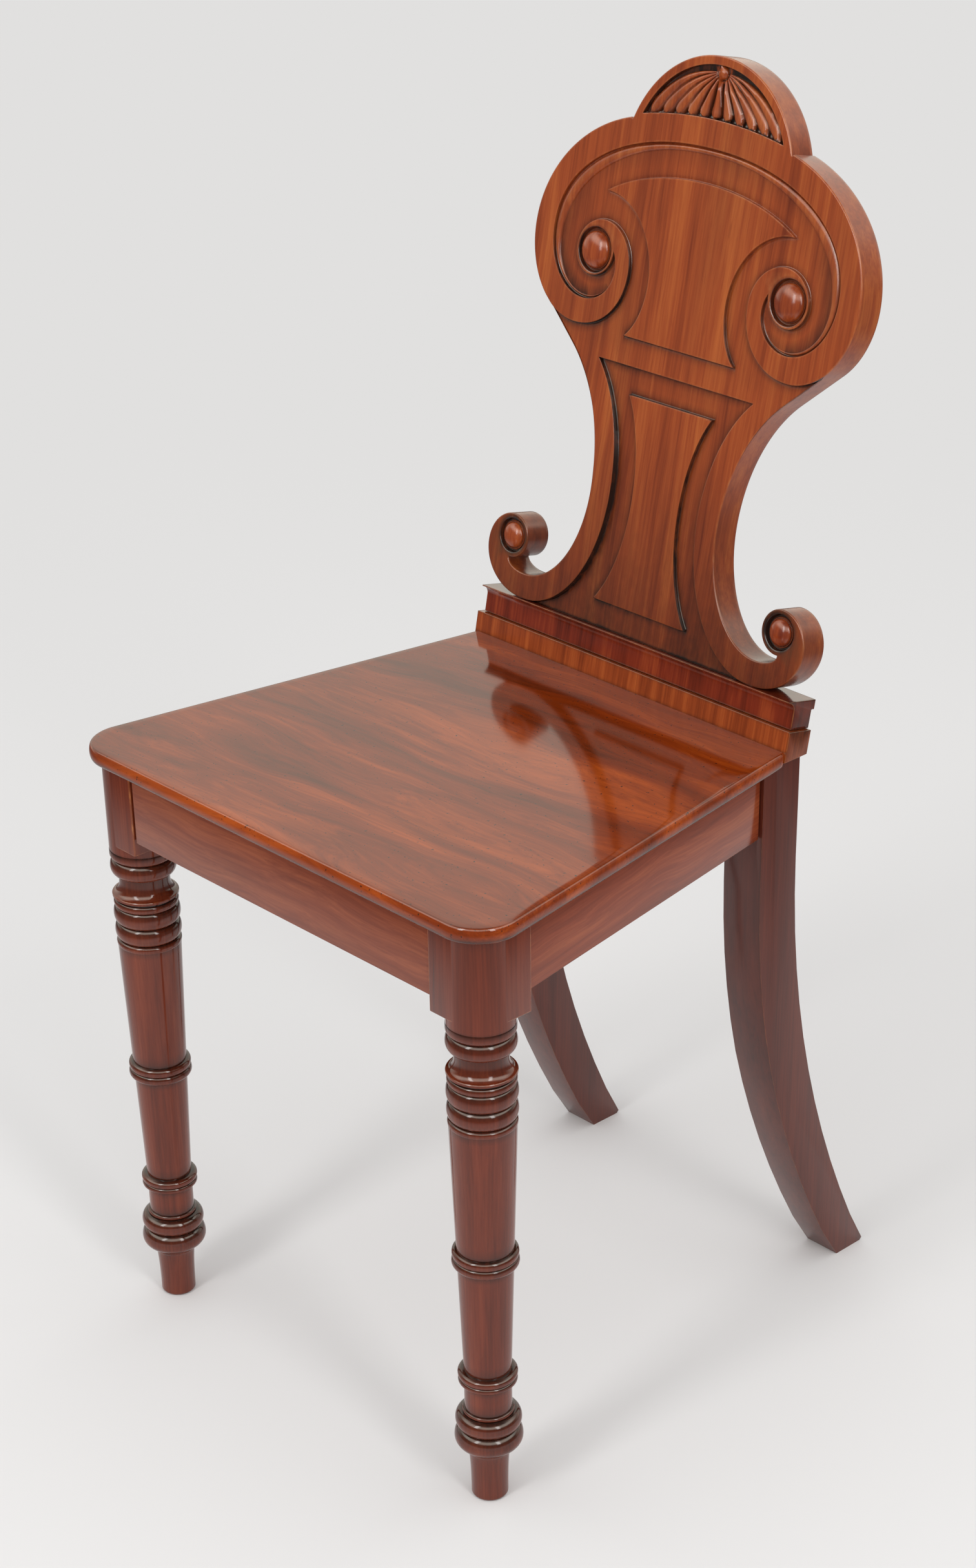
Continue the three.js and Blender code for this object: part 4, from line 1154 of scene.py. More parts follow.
        # The solid's roll is set at the scroll's top, side, foot and tip, at these shares.
        swell = np.interp(even, [0, 0.46, 0.68, 0.94, 1], [0, 0.485, 0.727, 0.939, 1])
        least = np.where(swell < 0.5, self.roll_top, 0.0)
        return least + (self.roll_wide - least) * np.sin(math.pi * swell) ** 3

    def dish(self, gap: Array, depth: float) -> Array:
        """Depth of the hollow at the foot of a wall, at distances from it."""
        return depth * np.clip(1 - np.abs(gap) / self.hollow, 0, 1) ** 2

    def relief(self, points: Array) -> Relief:
        """Works out the carving.

        Args:
            points: Places on the front of the back.

        Returns:
            Depth, grime with painted shade, and wear with painted highlight there.
        """
        x, height = points.T
        carved = Relief(*np.zeros((3, len(points))))
        self.carve_scroll(points, carved)
        out = beyond(points, self.panel, (0.0, self.panel[0][1]))
        carved.step(self.panel_level, carved.depth + self.dish(out, self.hollow_depth), out, 0.85)
        out = beyond(points, self.sunk_line, (0.0, 0.0), (self.sunk_foot, 0.0))
        carved.step(carved.depth, self.sunk + self.dish(out, 0.5), -out, 0.9, 5.0)
        out = beyond(points, self.inner_line)
        carved.step(self.inner_level, carved.depth + self.dish(out, 0.6), out, 0.9)
        # The painted grime and shade fade towards the top of the ground.
        carved.grime *= np.interp(height, [240, 330], [1.0, 0.25])
        self.carve_fan(points, carved)
        for (cx, cy), (radius, depth) in self.seats():
            signed = (radius - np.hypot(x - cx, height - cy)) * self.seat_slope
            carved.step(carved.depth, np.maximum(carved.depth, depth), signed, 0.6, 1.0)
        # The board is painted darker towards its foot, with a ring of painted shade round each lower
        # boss, and darker at its joint with the plinth.
        low_down = np.interp(height, [self.foot, 60, 110, 170], [0.5, 0.36, 0.22, 0.0])
        round_curl = np.hypot(x - self.curl[0], height - self.curl[1]) - self.lower_seat[0]
        low_down = np.maximum(low_down, 0.75 * bump(np.maximum(round_curl, 0), 0.0, 4.5))
        joint = 0.85 * np.exp(-(height - self.foot) / 2.5)
        carved.soil(np.maximum(low_down, joint))
        # The outer arris is rounded and painted lighter, as rubbed wear and as a painted highlight.
        gap, _ = nearest(points, self.outline[self.outline[:, 1] > self.foot + 1e-6])
        short = np.clip(self.arris - gap, 0, self.arris)
        carved.depth = carved.depth + self.arris - np.sqrt(self.arris**2 - short**2)
        carved.rub(0.8 * np.exp(-((gap - 0.2) ** 2) / 0.12))
        return carved

    def seats(self) -> tuple[tuple[Point, Point], ...]:
        """The middle of each boss's seat, with its radius and level."""
        return (self.volute, self.upper_seat), (self.curl, self.lower_seat)

    def carve_scroll(self, points: Array, carved: Relief) -> None:
        """Sinks the ground inside the scroll and leaves its roll standing.

        Args:
            points: Places on the front of the back.
            carved: The relief there, which is changed.
        """
        height = points[:, 1]
        closing = [(self.beyond_edge, self.volute_line[-1][1]), (self.beyond_edge, self.neck_top),
                   (0.0, self.neck_top)]
        lowered = inside(points, np.concatenate([self.scroll, self.volute_line, closing]))
        lowered |= height < self.neck_top
        scroll_gap, along = nearest(points, self.scroll)
        volute_gap, _ = nearest(points, self.volute_line)
        low = np.interp(height, [self.neck_fade, self.neck_top], [0, self.ground])
        low += self.dish(volute_gap, self.hollow_depth)
        low += np.interp(scroll_gap, [0.9, self.roll_groove], [0.6, 0.2], right=0)
        width = np.maximum(self.roll_width(along), 1e-3)
        across = (scroll_gap - self.roll_groove) / width
        rolled = (across > 0) & (across < 1)
        swell = np.sqrt(np.clip(1 - (2 * across - 1) ** 2, 0, 1))
        low -= np.where(rolled, self.roll_height * np.minimum(1, width / 4) * swell, 0)
        gap = np.minimum(scroll_gap, volute_gap)
        # Below the neck the ground fades out and has no wall, so no wall is near there.
        carved.step(0.0, low, np.where(lowered, gap, -gap) + 60.0 * (height < self.neck_top - 2))
        # The crease beside the roll is painted dark, as grime and as painted shade, and the roll's
        # crest lighter, as wear and as a painted highlight.
        crease = np.exp(-np.abs(scroll_gap - self.roll_groove - width) / 0.5) * (width > 0.8)
        crease = np.where(lowered & (height > self.neck_top), crease * 0.85, 0)
        clean = np.where(rolled & (across > 0.2), 0.2, 1)
        carved.grime = np.maximum(carved.grime * clean, crease)
        carved.rub(np.where(rolled, swell**6 * 0.5, 0))

    def carve_fan(self, points: Array, carved: Relief) -> None:
        """Cuts the fan's recess and leaves its reeds and bud standing.

        Args:
            points: Places on the front of the back.
            carved: The relief there, which is changed.
        """
        out = beyond(points, self.fan_edge, (0.0, self.fan_edge[0][1]))
        rise, valley = np.zeros(len(points)), np.ones(len(points))
        for line in self.reed_lines:
            apart, along = nearest(points, line)
            half = self.reed_half(along)
            tall = self.reed_rise * np.minimum(1, 2.2 * half / self.reed_half(0.11))
            rise = np.maximum(rise, tall * np.sqrt(np.clip(1 - (apart / half) ** 2, 0, 1)))
            valley = np.minimum(valley, np.clip((apart / half - 0.55) / 0.45, 0, 1))
        # A groove runs round the bud.
        apart = np.hypot(*(points - self.bud).T) / self.bud_radius
        clear = np.clip((apart - 1.0) / 0.35, 0, 1)
        rise = np.maximum(rise * clear, self.reed_rise * np.sqrt(np.clip(1 - apart**2, 0, 1)))
        valley = np.where(apart < 1.35, 1 - np.abs(apart - 1.1) / 0.25, valley)
        carved.step(carved.depth, self.fan_level - rise, -out, 0.9)
        # The valleys between the reeds and the groove round the bud are painted dark, as grime and as
        # painted shade, and the reeds' crests lighter, as wear and as a painted highlight.
        carved.grime = np.where(out < -0.6, np.clip(valley, 0, 0.95), carved.grime)
        carved.rub(np.where(out < 0, np.clip(rise / self.reed_rise - 0.8, 0, 1) * 2.0, 0))

    def guides(self) -> list[Array]:
        """Draws the lines that the mesh of the right half follows.

        Returns:
            The lines, so that the mesh bends where the carving does.
        """
        wall = (-1.2, -0.5, -0.15, 0.0, 0.25)
        lines = [self.outline, np.array([(0.0, self.foot), (0.0, self.outline[-1][1])])]
        lines += [offset(self.outline, -d) for d in (0.12, 0.4, self.arris, 1.7)]
        for line in (self.volute_line, self.panel, self.sunk_line, self.inner_line):
            lines += self.beside(line, (*wall, 0.6, 1.0, 2.0, self.hollow, 4.5, 6.5))
        width = self.roll_width(np.linspace(0, 1, len(self.scroll)))
        shares = (0, 0.06, 0.2, 0.35, 0.5, 0.65, 0.8, 0.94, 1)
        roll = [self.roll_groove + share * width for share in shares]
        lines += self.beside(self.scroll, (*wall, 0.9, *roll))
        lines += self.beside(self.fan_edge, wall)
        for line in self.reed_lines:
            half = self.reed_half(np.linspace(0, 1, len(line)))
            lines += [offset(line, half * share) for share in (-1, -0.8, -0.45, 0, 0.45, 0.8, 1)]
        for centre, (radius, _) in self.seats():
            lines += [arc(centre, radius - d / self.seat_slope, 0, 2 * math.pi)
                      for d in (-0.5, -0.15, 0, 0.25, 0.6)]
        lines += [arc(self.bud, self.bud_radius * share, -math.pi / 2, math.pi / 2)
                  for share in (0.4, 0.75, 0.92, 1.0, 1.15, 1.35)]
        return lines + [np.array([(0.0, level), (self.beyond_edge, level)])
                        for level in (self.neck_fade, self.neck_top)]

    def beside(self, line: Array, distances: Sequence[Array | float]) -> list[Array]:
        """Draws lines beside the line of a wall.

        Args:
            line: The wall's line.
            distances: How far off they run, above 0 on the wall's low side.

        Returns:
            The lines.
        """
        middle = len(line) // 2
        right, left = (self.relief(offset(line, d)[middle][None]).depth[0] for d in (0.6, -0.6))
        side = 1 if right > left else -1
        return [offset(line, side * distance) for distance in distances]

    def shell(self) -> Shell:
        """Builds the whole board from its right half.

        Returns:
            The board.
        """
        plane, triangles = triangulate(self.guides())
        middles = plane[triangles].mean(1)
        half = np.concatenate([self.outline, [(0.0, self.foot)]])
        kept = triangles[inside(middles, half) & (middles[:, 0] > 0)]
        used, kept = np.unique(kept, return_inverse=True)
        kept, plane = kept.reshape(-1, 3), plane[used]
        plane[np.abs(plane[:, 0]) < 0.02, 0] = 0.0
        carved = self.relief(plane)
        shell = Shell()
        shell.add(on_back(*plane.T, carved.depth), carved.grime, carved.wear)
        off_middle = np.flatnonzero(plane[:, 0] > 0)
        mirrored = plane[off_middle] * (-1, 1)
        image = np.arange(len(plane))
        image[off_middle] = shell.add(
            on_back(*mirrored.T, carved.depth[off_middle]), carved.grime[off_middle],
            carved.wear[off_middle],
        )
        shell.faces += [tuple(face) for face in kept.tolist()]
        shell.faces += [tuple(face[::-1]) for face in image[kept].tolist()]
        self.close(shell, np.concatenate([plane, mirrored]))
        return shell

    def close(self, shell: Shell, flat: Array) -> None:
        """Adds the board's edge and back behind the carved front.

        Args:
            shell: The front, which is added to.
            flat: The places of its vertices on the front plane.
        """
        taken = {(a, b) for face in shell.faces for a, b in zip(face, face[1:] + face[:1])}
        following = {a: b for a, b in taken if (b, a) not in taken}
        # The rear is one large face. Where its ring starts decides how it is cut to triangles,
        # and so how the darker paint on its rim runs over it.
        loop = [next(iter(following))]
        while following[loop[-1]] != loop[0]:
            loop.append(following[loop[-1]])
        edge = flat[loop]
        # The edge and the rear are painted darker towards the foot.
        dimmed = np.interp(edge[:, 1], [self.foot, 60, 110, 200], [0.6, 0.45, 0.3, 0.12])
        # Each ring's depth, how far it is set in and its wear: the rear arris is rounded.
        rear = self.thickness
        rings = ((1.6, 0.0, 0.0), (4.0, 0.0, 0.0), (rear - 3, 0.0, 0.0), (rear - 0.9, 0.0, 0.0),
                 (rear - 0.27, 0.27, 0.5), (rear, 0.9, 0.0))
        added = [shell.add(on_back(*(edge - normals(edge) * inset).T, depth), dimmed, wear)
                 for depth, inset, wear in rings]
        shell.bridge(loop, *added)
        shell.cap(added[-1], 1)

    def build(self, looks: Looks) -> None:
        """Makes the board as one piece."""
        mesh = self.shell().mesh("carved_back", sharp=34, flat=2.5)
        piece("carved_back", mesh, (looks["back"], looks["back_rear"]), "back", "back_board")


# Turnery


def new_tree(name: str, inputs: dict[str, str], output: str) -> tuple[Callable, dict[str, Socket]]:
    """Starts a tree of Geometry Nodes.

    Args:
        name: The tree's name.
        inputs: The names of its inputs and the kinds of their sockets.
        output: The name of its output.

    Returns:
        What adds a node to it, and its inputs by their names.
    """
    tree = bpy.data.node_groups.new(name, "GeometryNodeTree")
    for label, kind in inputs.items():
        tree.interface.new_socket(label, in_out="INPUT", socket_type=f"NodeSocket{kind}")
    tree.interface.new_socket(output, in_out="OUTPUT", socket_type="NodeSocketGeometry")
    add = partial(add_node, tree)
    return add, add("NodeGroupInput").node.outputs


def finish_tree(add: Callable, made: Socket, finish: Socket) -> bpy.types.GeometryNodeTree:
    """Ends a tree: makes copies real, gives them their finish and puts them out.

    Args:
        add: Adds a node to the tree.
        made: What the tree made.
        finish: The input that holds the finish.

    Returns:
        The tree.
    """
    real = add("GeometryNodeRealizeInstances", (made,))
    dressed = add("GeometryNodeSetMaterial", {"Geometry": real, "Material": finish})
    add("NodeGroupOutput", (dressed,))
    return dressed.id_data


def turning_tree() -> bpy.types.GeometryNodeTree:
    """Builds the tree that turns a line of points into a turned solid.

    Each point's swell is the solid's radius there. Inputs are the line, the count of facets
    round the axis and the finish.

    Returns:
        The tree.
    """
    inputs = {"Line": "Geometry", "Facets": "Int", "Finish": "Material"}
    add, given = new_tree("turning", inputs, "Turning")
    curve = add("GeometryNodeMeshToCurve", (given["Line"],))
    swell = add("GeometryNodeInputNamedAttribute", {"Name": "swell"}, "Attribute", data_type="FLOAT")
    swollen = add("GeometryNodeSetCurveRadius", {"Curve": curve, "Radius": swell})
    circle = add(
        "GeometryNodeCurvePrimitiveCircle", {"Resolution": given["Facets"], "Radius": 1.0}
    )
    solid = add("GeometryNodeCurveToMesh", {
        "Curve": swollen, "Profile Curve": circle, "Scale": swell, "Fill Caps": True,
    })
    return finish_tree(add, solid, given["Finish"])


@dataclass(frozen=True)
class Bead:
    """A bead of a turning.

    Attributes:
        foot, swell, head: Radius at its foot, its middle and its head.
        low, high: Heights of its foot and head.
        steps: How many stretches its outline has.
        foot_grime: How much grime and painted shade the crease at its foot holds.
    """

    foot: float
    swell: float
    head: float
    low: float
    high: float
    steps: int = 12
    foot_grime: float = 1.0


@dataclass
class Profile:
    """The outline of a turning: radius, height, grime with painted shade and wear with painted
    highlight at each of its points.
    """

    rows: list[tuple[float, float, float, float]] = field(default_factory=list)

    def to(self, radius: float, height: float, grime: float = 0.0, wear: float = 0.0) -> None:
        """Adds one point, always above the one before.

        Args:
            radius: Its radius.
            height: Its height.
            grime: Its grime and painted shade.
            wear: Its wear and painted highlight.
        """
        if self.rows and height <= self.rows[-1][1]:
            height = self.rows[-1][1] + 0.01
        self.rows.append((radius, height, grime, wear))

    def stack(self, beads: Iterable[Bead]) -> None:
        """Adds beads, each over the one before, with grime and painted shade in the creases between
        them.

        Args:
            beads: The beads, from the lowest up.
        """
        for bead in beads:
            middle, half = (bead.low + bead.high) / 2, (bead.high - bead.low) / 2
            for i in range(bead.steps + 1):
                angle = math.pi * (i / bead.steps - 0.5)
                rest = bead.foot if i * 2 < bead.steps else bead.head
                crown = math.cos(angle)
                radius = rest + (bead.swell - rest) * crown
                crease = max(0.0, 1 - crown * 1.5) * (bead.foot_grime if angle < 0 else 1.0)
                # The upper side of each bead is painted darker, as dust and as painted shade.
                dust_and_shade = 0.75 * math.sin(max(angle, 0.0)) + 0.12
                self.to(radius, middle + half * math.sin(angle), max(crease, dust_and_shade))

    def sweep(self, points: Array, grime: Point = (0.0, 0.0)) -> None:
        """Adds a run of points, with grime and painted shade that change evenly along it."""
        for (radius, height), held in zip(points, np.linspace(*grime, len(points))):
            self.to(radius, height, held)

    def mesh(
        self, name: str, foot: Place | Array, up: Place, tree: bpy.types.GeometryNodeTree,
        facets: int, finish: Material,
    ) -> Mesh:
        """Turns the profile.

        Args:
            name: The mesh's name.
            foot: The place of height 0 in the shared frame, in millimetres.
            up: The axis's direction, of length 1.
            tree: The turning tree.
            facets: Facets round the axis.
            finish: The material.

        Returns:
            The turned mesh, in metres.
        """
        line = bpy.data.meshes.new(name)
        swell, heights, grime, wear = zip(*self.rows)
        axis = ((np.array(foot) + np.outer(heights, up)) * MM).tolist()
        line.from_pydata(axis, [(i, i + 1) for i in range(len(axis) - 1)], [])
        paint(line, "POINT", {"swell": [r * MM for r in swell], "grime": grime, "wear": wear})
        mesh = evaluated(
            line, "NODES", {"node_group": tree}, {"Facets": facets, "Finish": finish}
        )
        outwards(mesh)
        return shaded(mesh, 38)


@dataclass
class FrontLeg:
    """A front leg: a post turned below the rails, with a square block above."""

    side: Side
    foot: Point = (12.5, 38.0)
    foot_ease: float = 2.4
    flare: float = 2.2
    ankle: float = 16.0
    knee: float = 22.0
    # Where the shaft starts, and the heights between which it swells.
    shaft_foot: float = 73.2
    swell: Point = (104.2, 293.5)
    # The beads between the foot and the shaft.
    bulb: tuple[Bead, ...] = (
        Bead(14.7, 23.2, 18.2, 41.3, 57.7, 18, 0.35),
        Bead(18.2, 22.4, 17.4, 57.7, 70.2, 16),
        Bead(16.6, 17.6, 16.0, 70.2, 73.2, 8),
    )
    # The double rings on the shaft: heights of foot, groove and head, and radii of both beads.
    rings: tuple[tuple[Place, Point], ...] = (
        ((93.4, 98.2, 104.2), (19.9, 20.1)),
        ((186.4, 193.3, 199.6), (22.3, 22.0)),
    )
    ring_groove_share: float = 0.925
    # The beads over the shaft, the points of the disc on them and the cove over the disc.
    over_shaft: tuple[Bead, ...] = (
        Bead(22.0, 22.5, 19.78, 293.5, 298.3, 8, 0.3),
        Bead(19.78, 23.0, 19.866, 298.3, 311.0, 16),
        Bead(19.866, 23.1, 20.72, 311.0, 323.7, 16),
        Bead(20.72, 22.4, 20.72, 323.7, 329.3, 10),
    )
    # Under the disc the crease is painted dark, as grime and as painted shade, and its upper rim
    # lighter, as wear and as a painted highlight.
    disc: tuple[tuple[float, ...], ...] = (
        (20.72, 330.6, 0.9), (22.6, 330.9, 0.5), (22.9, 331.2, 0.2), (22.9, 332.7, 0.0),
        (22.6, 333.1, 0.0, 0.5),
    )
    cove: tuple[Point, Point] = ((22.4, 333.15), (17.5, 342.0))
    vase: tuple[Bead, ...] = (
        Bead(17.5, 22.8, 19.608, 347.0, 359.8, 18, 0.5),
        Bead(19.608, 22.6, 22.3, 359.8, 367.0, 12, 0.4),
    )
    block_half: float = 22.3
    block_foot: float = 373.0
    block_head: float = 433.7
    block_ease: float = 0.9
    # The turned corner of the block starts at the first height. It stands a hair proud of the
    # flats from the second, so that the two surfaces don't lie in one another.
    round_foot: Point = (367.4, 369.0)
    proud: float = 0.03

    def shaft(self, height: float) -> float:
        """Radius of the shaft at a height: straight below the lower ring, then swelling."""
        low, high = self.swell
        return self.ankle + (self.knee - self.ankle) * max(0.0, height - low) / (high - low)

    def profile(self) -> Profile:
        """Draws the turning, from the floor up.

        Returns:
            Its profile.
        """
        turning = Profile()
        (radius, top), ease = self.foot, self.foot_ease
        turning.sweep(quarter((radius - ease, 0.0), (radius, ease), True))
        spread = quarter((radius, ease + 0.1), (radius + self.flare, top), False)
        turning.sweep(spread, (0.0, 0.1))
        turning.stack(self.bulb)
        low = self.shaft_foot
        for heights, radii in self.rings:
            self.rest(turning, low, heights[0])
            self.ring(turning, heights, radii)
            low = heights[2]
        self.rest(turning, low, self.swell[1])
        turning.stack(self.over_shaft)
        for row in self.disc:
            turning.to(*row)
        turning.sweep(quarter(*self.cove, True), (0.0, 0.5))
        turning.stack(self.vase)
        start, full = self.round_foot
        turning.to(self.block_half, start, 0.3)
        for height in (full, self.block_head - 0.4):
            turning.to(self.block_half + self.proud, height)
        return turning

    def rest(self, turning: Profile, low: float, high: float) -> None:
        """Adds a stretch of plain shaft, with grime and painted shade where it meets the rings.

        Args:
            turning: The profile, which is added to.
            low: Height at which the stretch starts.
            high: Height at which it ends.
        """
        for height, grime in ((low + 0.3, 0.75), (low + 3, 0.3), (low + 9, 0.0),
                              (high - 5, 0.0), (high - 0.3, 0.45)):
            turning.to(self.shaft(height), height, grime)

    def ring(self, turning: Profile, heights: Place, radii: Point) -> None:
        """Adds a double ring to the shaft.

        Args:
            turning: The profile, which is added to.
            heights: Heights of its foot, of the groove between its beads and of its head.
            radii: Radii of the lower and the upper bead.
        """
        low, middle, high = heights
        lower, upper = radii
        groove = lower * self.ring_groove_share
        turning.stack((
            Bead(self.shaft(low), lower, groove, low, middle, 10),
            Bead(groove, upper, self.shaft(high), middle, high, 12),
        ))

    def block(self) -> Mesh:
        """Makes the square block, rounded to the turning at its outer front corner.

        Returns:
            Its mesh.
        """
        half = self.block_half
        flats = [(half, half), (-half, half), (-half, -half)]
        outline = np.concatenate([flats, arc((0.0, 0.0), half, -math.pi / 2, 0.0)])
        outline = outline * (self.side.value, 1) + (self.side.value * LEG_SPAN, 0)
        shell = Shell()
        rings = [shell.add(levelled(outline, z)) for z in (self.block_foot, self.block_head)]
        shell.bridge(*rings)
        for ring in rings:
            shell.cap(ring)
        return eased(shell.mesh("block"), self.block_ease)

    def build(self, tree: bpy.types.GeometryNodeTree, looks: Looks) -> None:
        """Makes the leg as one piece.

        Args:
            tree: The turning tree.
            looks: The finishes.
        """
        foot = (self.side.value * LEG_SPAN, LEG_LINE_Y, 0.0)
        turned = self.profile().mesh("leg", foot, (0.0, 0.0, 1.0), tree, 96, looks["legs"])
        mesh = joined("leg", [turned, self.block()])
        name = f"{self.side.word}_front_leg"
        piece(f"turned_{name}", mesh, (looks["legs"],), "legs", name)


def joined(name: str, meshes: Sequence[Mesh]) -> Mesh:
    """Joins meshes into one.

    Args:
        name: Its name.
        meshes: The meshes, which may have their painted values on vertices or on faces.

    Returns:
        One mesh with its painted values on the corners of its faces.
    """
    result = bpy.data.meshes.new(name)
    work = bmesh.new()
    for mesh in meshes:
        vertex, face = np.zeros(len(mesh.loops), int), np.zeros(len(mesh.polygons), int)
        mesh.loops.foreach_get("vertex_index", vertex)
        mesh.polygons.foreach_get("loop_total", face)
        corners = {"POINT": vertex, "FACE": np.repeat(np.arange(len(face)), face)}
        for label in ("grime", "wear"):
            found = mesh.attributes[label]
            values = np.zeros(len(found.data), np.float32)
            found.data.foreach_get("value", values)
            paint(mesh, "CORNER", {label: values[corners[found.domain]]})
        work.from_mesh(mesh)
    work.to_mesh(result)
    work.free()
    result.set_sharp_from_angle(angle=math.radians(36))
    return result


@dataclass
class Boss:
    """A turned button with a shallow dome, set into its seat in the carving.

    Attributes:
        name: The solid that it replaces.
        place: Its middle on the front of the back.
        seat: Radius and level of its seat.
        rise: How far the middle of its dome stands over its seat.
        rim: Width of the flat rim round the dome.
    """

    name: str
    place: Point
    seat: Point
    rise: float
    rim: float
    clearance: float = 2.0

    def build(self, tree: bpy.types.GeometryNodeTree, looks: Looks) -> None:
        """Makes the boss.

        Args:
            tree: The turning tree.
            looks: The finishes.
        """
        turning = Profile()
        edge = self.seat[0] - self.clearance
        dome = edge - self.rim
        # The seat's foot and the crease round the dome are painted dark, as grime and as painted shade,
        # and the rim's edge lighter, as wear and as a painted highlight.
        for row in ((edge - 0.3, 0.3, 1.0), (edge, 0.5, 0.9), (edge, 0.8, 0.5),
                    (edge - 0.2, 1.1, 0.3, 0.3), (dome, 1.15, 0.8), (dome - 0.2, 1.16, 1.0)):
            turning.to(*row)
        turning.sweep(quarter((dome - 0.25, 1.2), (0.05, self.rise), False), (0.1, 0.0))
        foot = on_back(*self.place, self.seat[1])
        mesh = turning.mesh(self.name, foot, FRONT, tree, 64, looks["boss"])
        piece(f"turned_{self.name}", mesh, (looks["boss"],), "back", self.name)


def build_bosses(board: BackBoard, tree: bpy.types.GeometryNodeTree, looks: Looks) -> None:
    """Sets the four bosses into their seats. The upper ones are larger, with a thinner rim.

    Args:
        board: The back.
        tree: The turning tree.
        looks: The finishes.
    """
    domes = (("upper", 7.6, 0.5), ("lower", 6.2, 0.9))
    for (label, rise, rim), (place, seat) in zip(domes, board.seats()):
        for side in Side:
            middle = (side.value * place[0], place[1])
            Boss(f"{label}_{side.word}_boss", middle, seat, rise, rim).build(tree, looks)


# Seat, plinths and frame


@dataclass
class SeatBoard:
    """The seat: one wide plank, a little warped by age, with a rounded nosing on three sides."""

    corner_radius: float = 29.7
    rear_half: float = 151.2
    thickness: float = 11.0
    nose: float = 2.7
    warp: float = 0.14
    warp_length: float = 95.0
    rear_gap: float = 0.3
    chord: float = 6.0
    # How full the nosing's curve is, and how many stretches it has.
    nose_fullness: float = 0.75
    nose_steps: int = 14
    # The top's net of points: its pitch, its span, a shift off the edges, the border without
    # points and the rim without warp.
    pitch: float = 9.0
    half_span: float = 190.0
    reach: Point = (-20.0, 292.0)
    middle: float = 130.0
    shift: float = 0.37
    border: float = 5.0
    rim: float = 12.0
    # The top lies a hair under its edge, so that no wave of the warp rises over it.
    sink: float = 0.06
    warp_layer: float = 4.2

    def edge(self) -> Array:
        """Draws the right half of the edge.

        Returns:
            The points along it, from the middle of the front to the rear corner.
        """
        back, across = SEAT_DEPTH, LEG_SPAN - self.rear_half
        lean = math.atan2(across, back)
        angle = lean + math.asin(self.corner_radius / math.hypot(across, back))
        corner = arc((LEG_SPAN, 0.0), self.corner_radius, -math.pi / 2, angle)
        end = corner[-1]
        reach = (back - self.rear_gap - end[1]) / math.cos(angle)
        rear = end + np.array([-math.sin(angle), math.cos(angle)]) * reach
        front = straight((0.0, -self.corner_radius), corner[0], self.chord)
        return chain(front, corner, straight(end, rear, self.chord))

    def shell(self) -> Shell:
        """Builds the board.

        Returns:
            The board.
        """
        right = self.edge()
        left = right[1:][::-1] * (-1, 1)
        rear = straight(right[-1], left[0], self.chord)[1:-1]
        loop = np.concatenate([right, rear, left])
        first, last = len(right) - 1, len(right) + len(rear)
        at_rear = np.zeros(len(loop), bool)
        at_rear[first : last + 1] = True
        out = normals(loop)
        out[[first, last]] = out[[first - 1, last + 1]]
        out[first + 1 : last] = 0
        shell = Shell()
        half = self.thickness / 2
        edges, rings = [], []
        for tilt in np.linspace(90, -90, self.nose_steps + 1):
            angle = math.radians(tilt)
            drop = half - half * math.sin(angle)
            inset = self.nose * (1 - max(0.0, math.cos(angle)) ** self.nose_fullness)
            places = loop - out * inset
            # The rear edge is planed to the rake, to lie against the plinth.
            places[at_rear, 1] = SEAT_DEPTH - self.rear_gap - drop * math.tan(RAKE)
            # The nosing is painted: a pale line along its lower arris, a painted highlight; a dark band
            # on its lower round, painted shade; a thin dark band near its top; and its upper round a
            # little lighter, as wear.
            wear = 0.5 * bump(tilt, -76, 9) + 0.2 * bump(tilt, 30, 30)
            grime = 0.7 * bump(tilt, -45, 24) + 0.35 * bump(tilt, 80, 10)
            edges.append(places)
            rings.append(shell.add(levelled(places, SEAT_HEIGHT - drop), ~at_rear * grime,
                                   ~at_rear * wear))
        shell.bridge(*rings)
        shell.cap(rings[-1], 1)
        self.top(shell, edges[0], rings[0])
        return shell

    def top(self, shell: Shell, edge: Array, ring: Sequence[int]) -> None:
        """Fills the warped top inside the nosing.

        Args:
            shell: The board, which is added to.
            edge: The places of its uppermost ring.
            ring: The numbers of that ring's vertices.
        """
        share = self.border / self.half_span
        inner = edge * (1 - share) + (0.0, share * self.middle)
        across = np.arange(-self.half_span, self.half_span + 1, self.pitch)
        grid = np.stack(np.meshgrid(across, np.arange(*self.reach, self.pitch)), -1)
        grid = grid.reshape(-1, 2) + self.shift
        grid = grid[inside(grid, inner * 0.99 + (0, 0.01 * self.middle))]
        closed = [np.concatenate([line, line[:1]]) for line in (edge, inner)]
        plane, triangles = triangulate(closed + [point[None] for point in grid])
        triangles = triangles[inside(plane[triangles].mean(1), edge)]
        apart = np.linalg.norm(plane[:, None] - edge[None], axis=2)
        match = apart.argmin(1)
        on_edge = apart.min(1) < 0.05
        gap, _ = nearest(plane, closed[0])
        rise = np.array([noise.noise(Vector((*place, self.warp_layer)))
                         for place in plane / self.warp_length])
        level = SEAT_HEIGHT - self.sink + rise * self.warp * np.clip(gap / self.rim, 0, 1)
        level = np.where(on_edge, SEAT_HEIGHT, np.minimum(level, SEAT_HEIGHT))
        number = np.where(on_edge, np.array(ring)[match], shell.add(levelled(plane, level)))
        shell.faces += [tuple(face) for face in number[triangles].tolist()]

    def build(self, looks: Looks) -> None:
        """Makes the seat."""
        mesh = self.shell().mesh("seat", sharp=50)
        piece("plank_seat", mesh, (looks["seat"], looks["seat_under"]), "seat", "seat_board")


def bump(value: Array | float, middle: float, width: float) -> Array | float:
    """A soft bump of height 1 round a middle."""
    return np.exp(-(((value - middle) / width) ** 2))


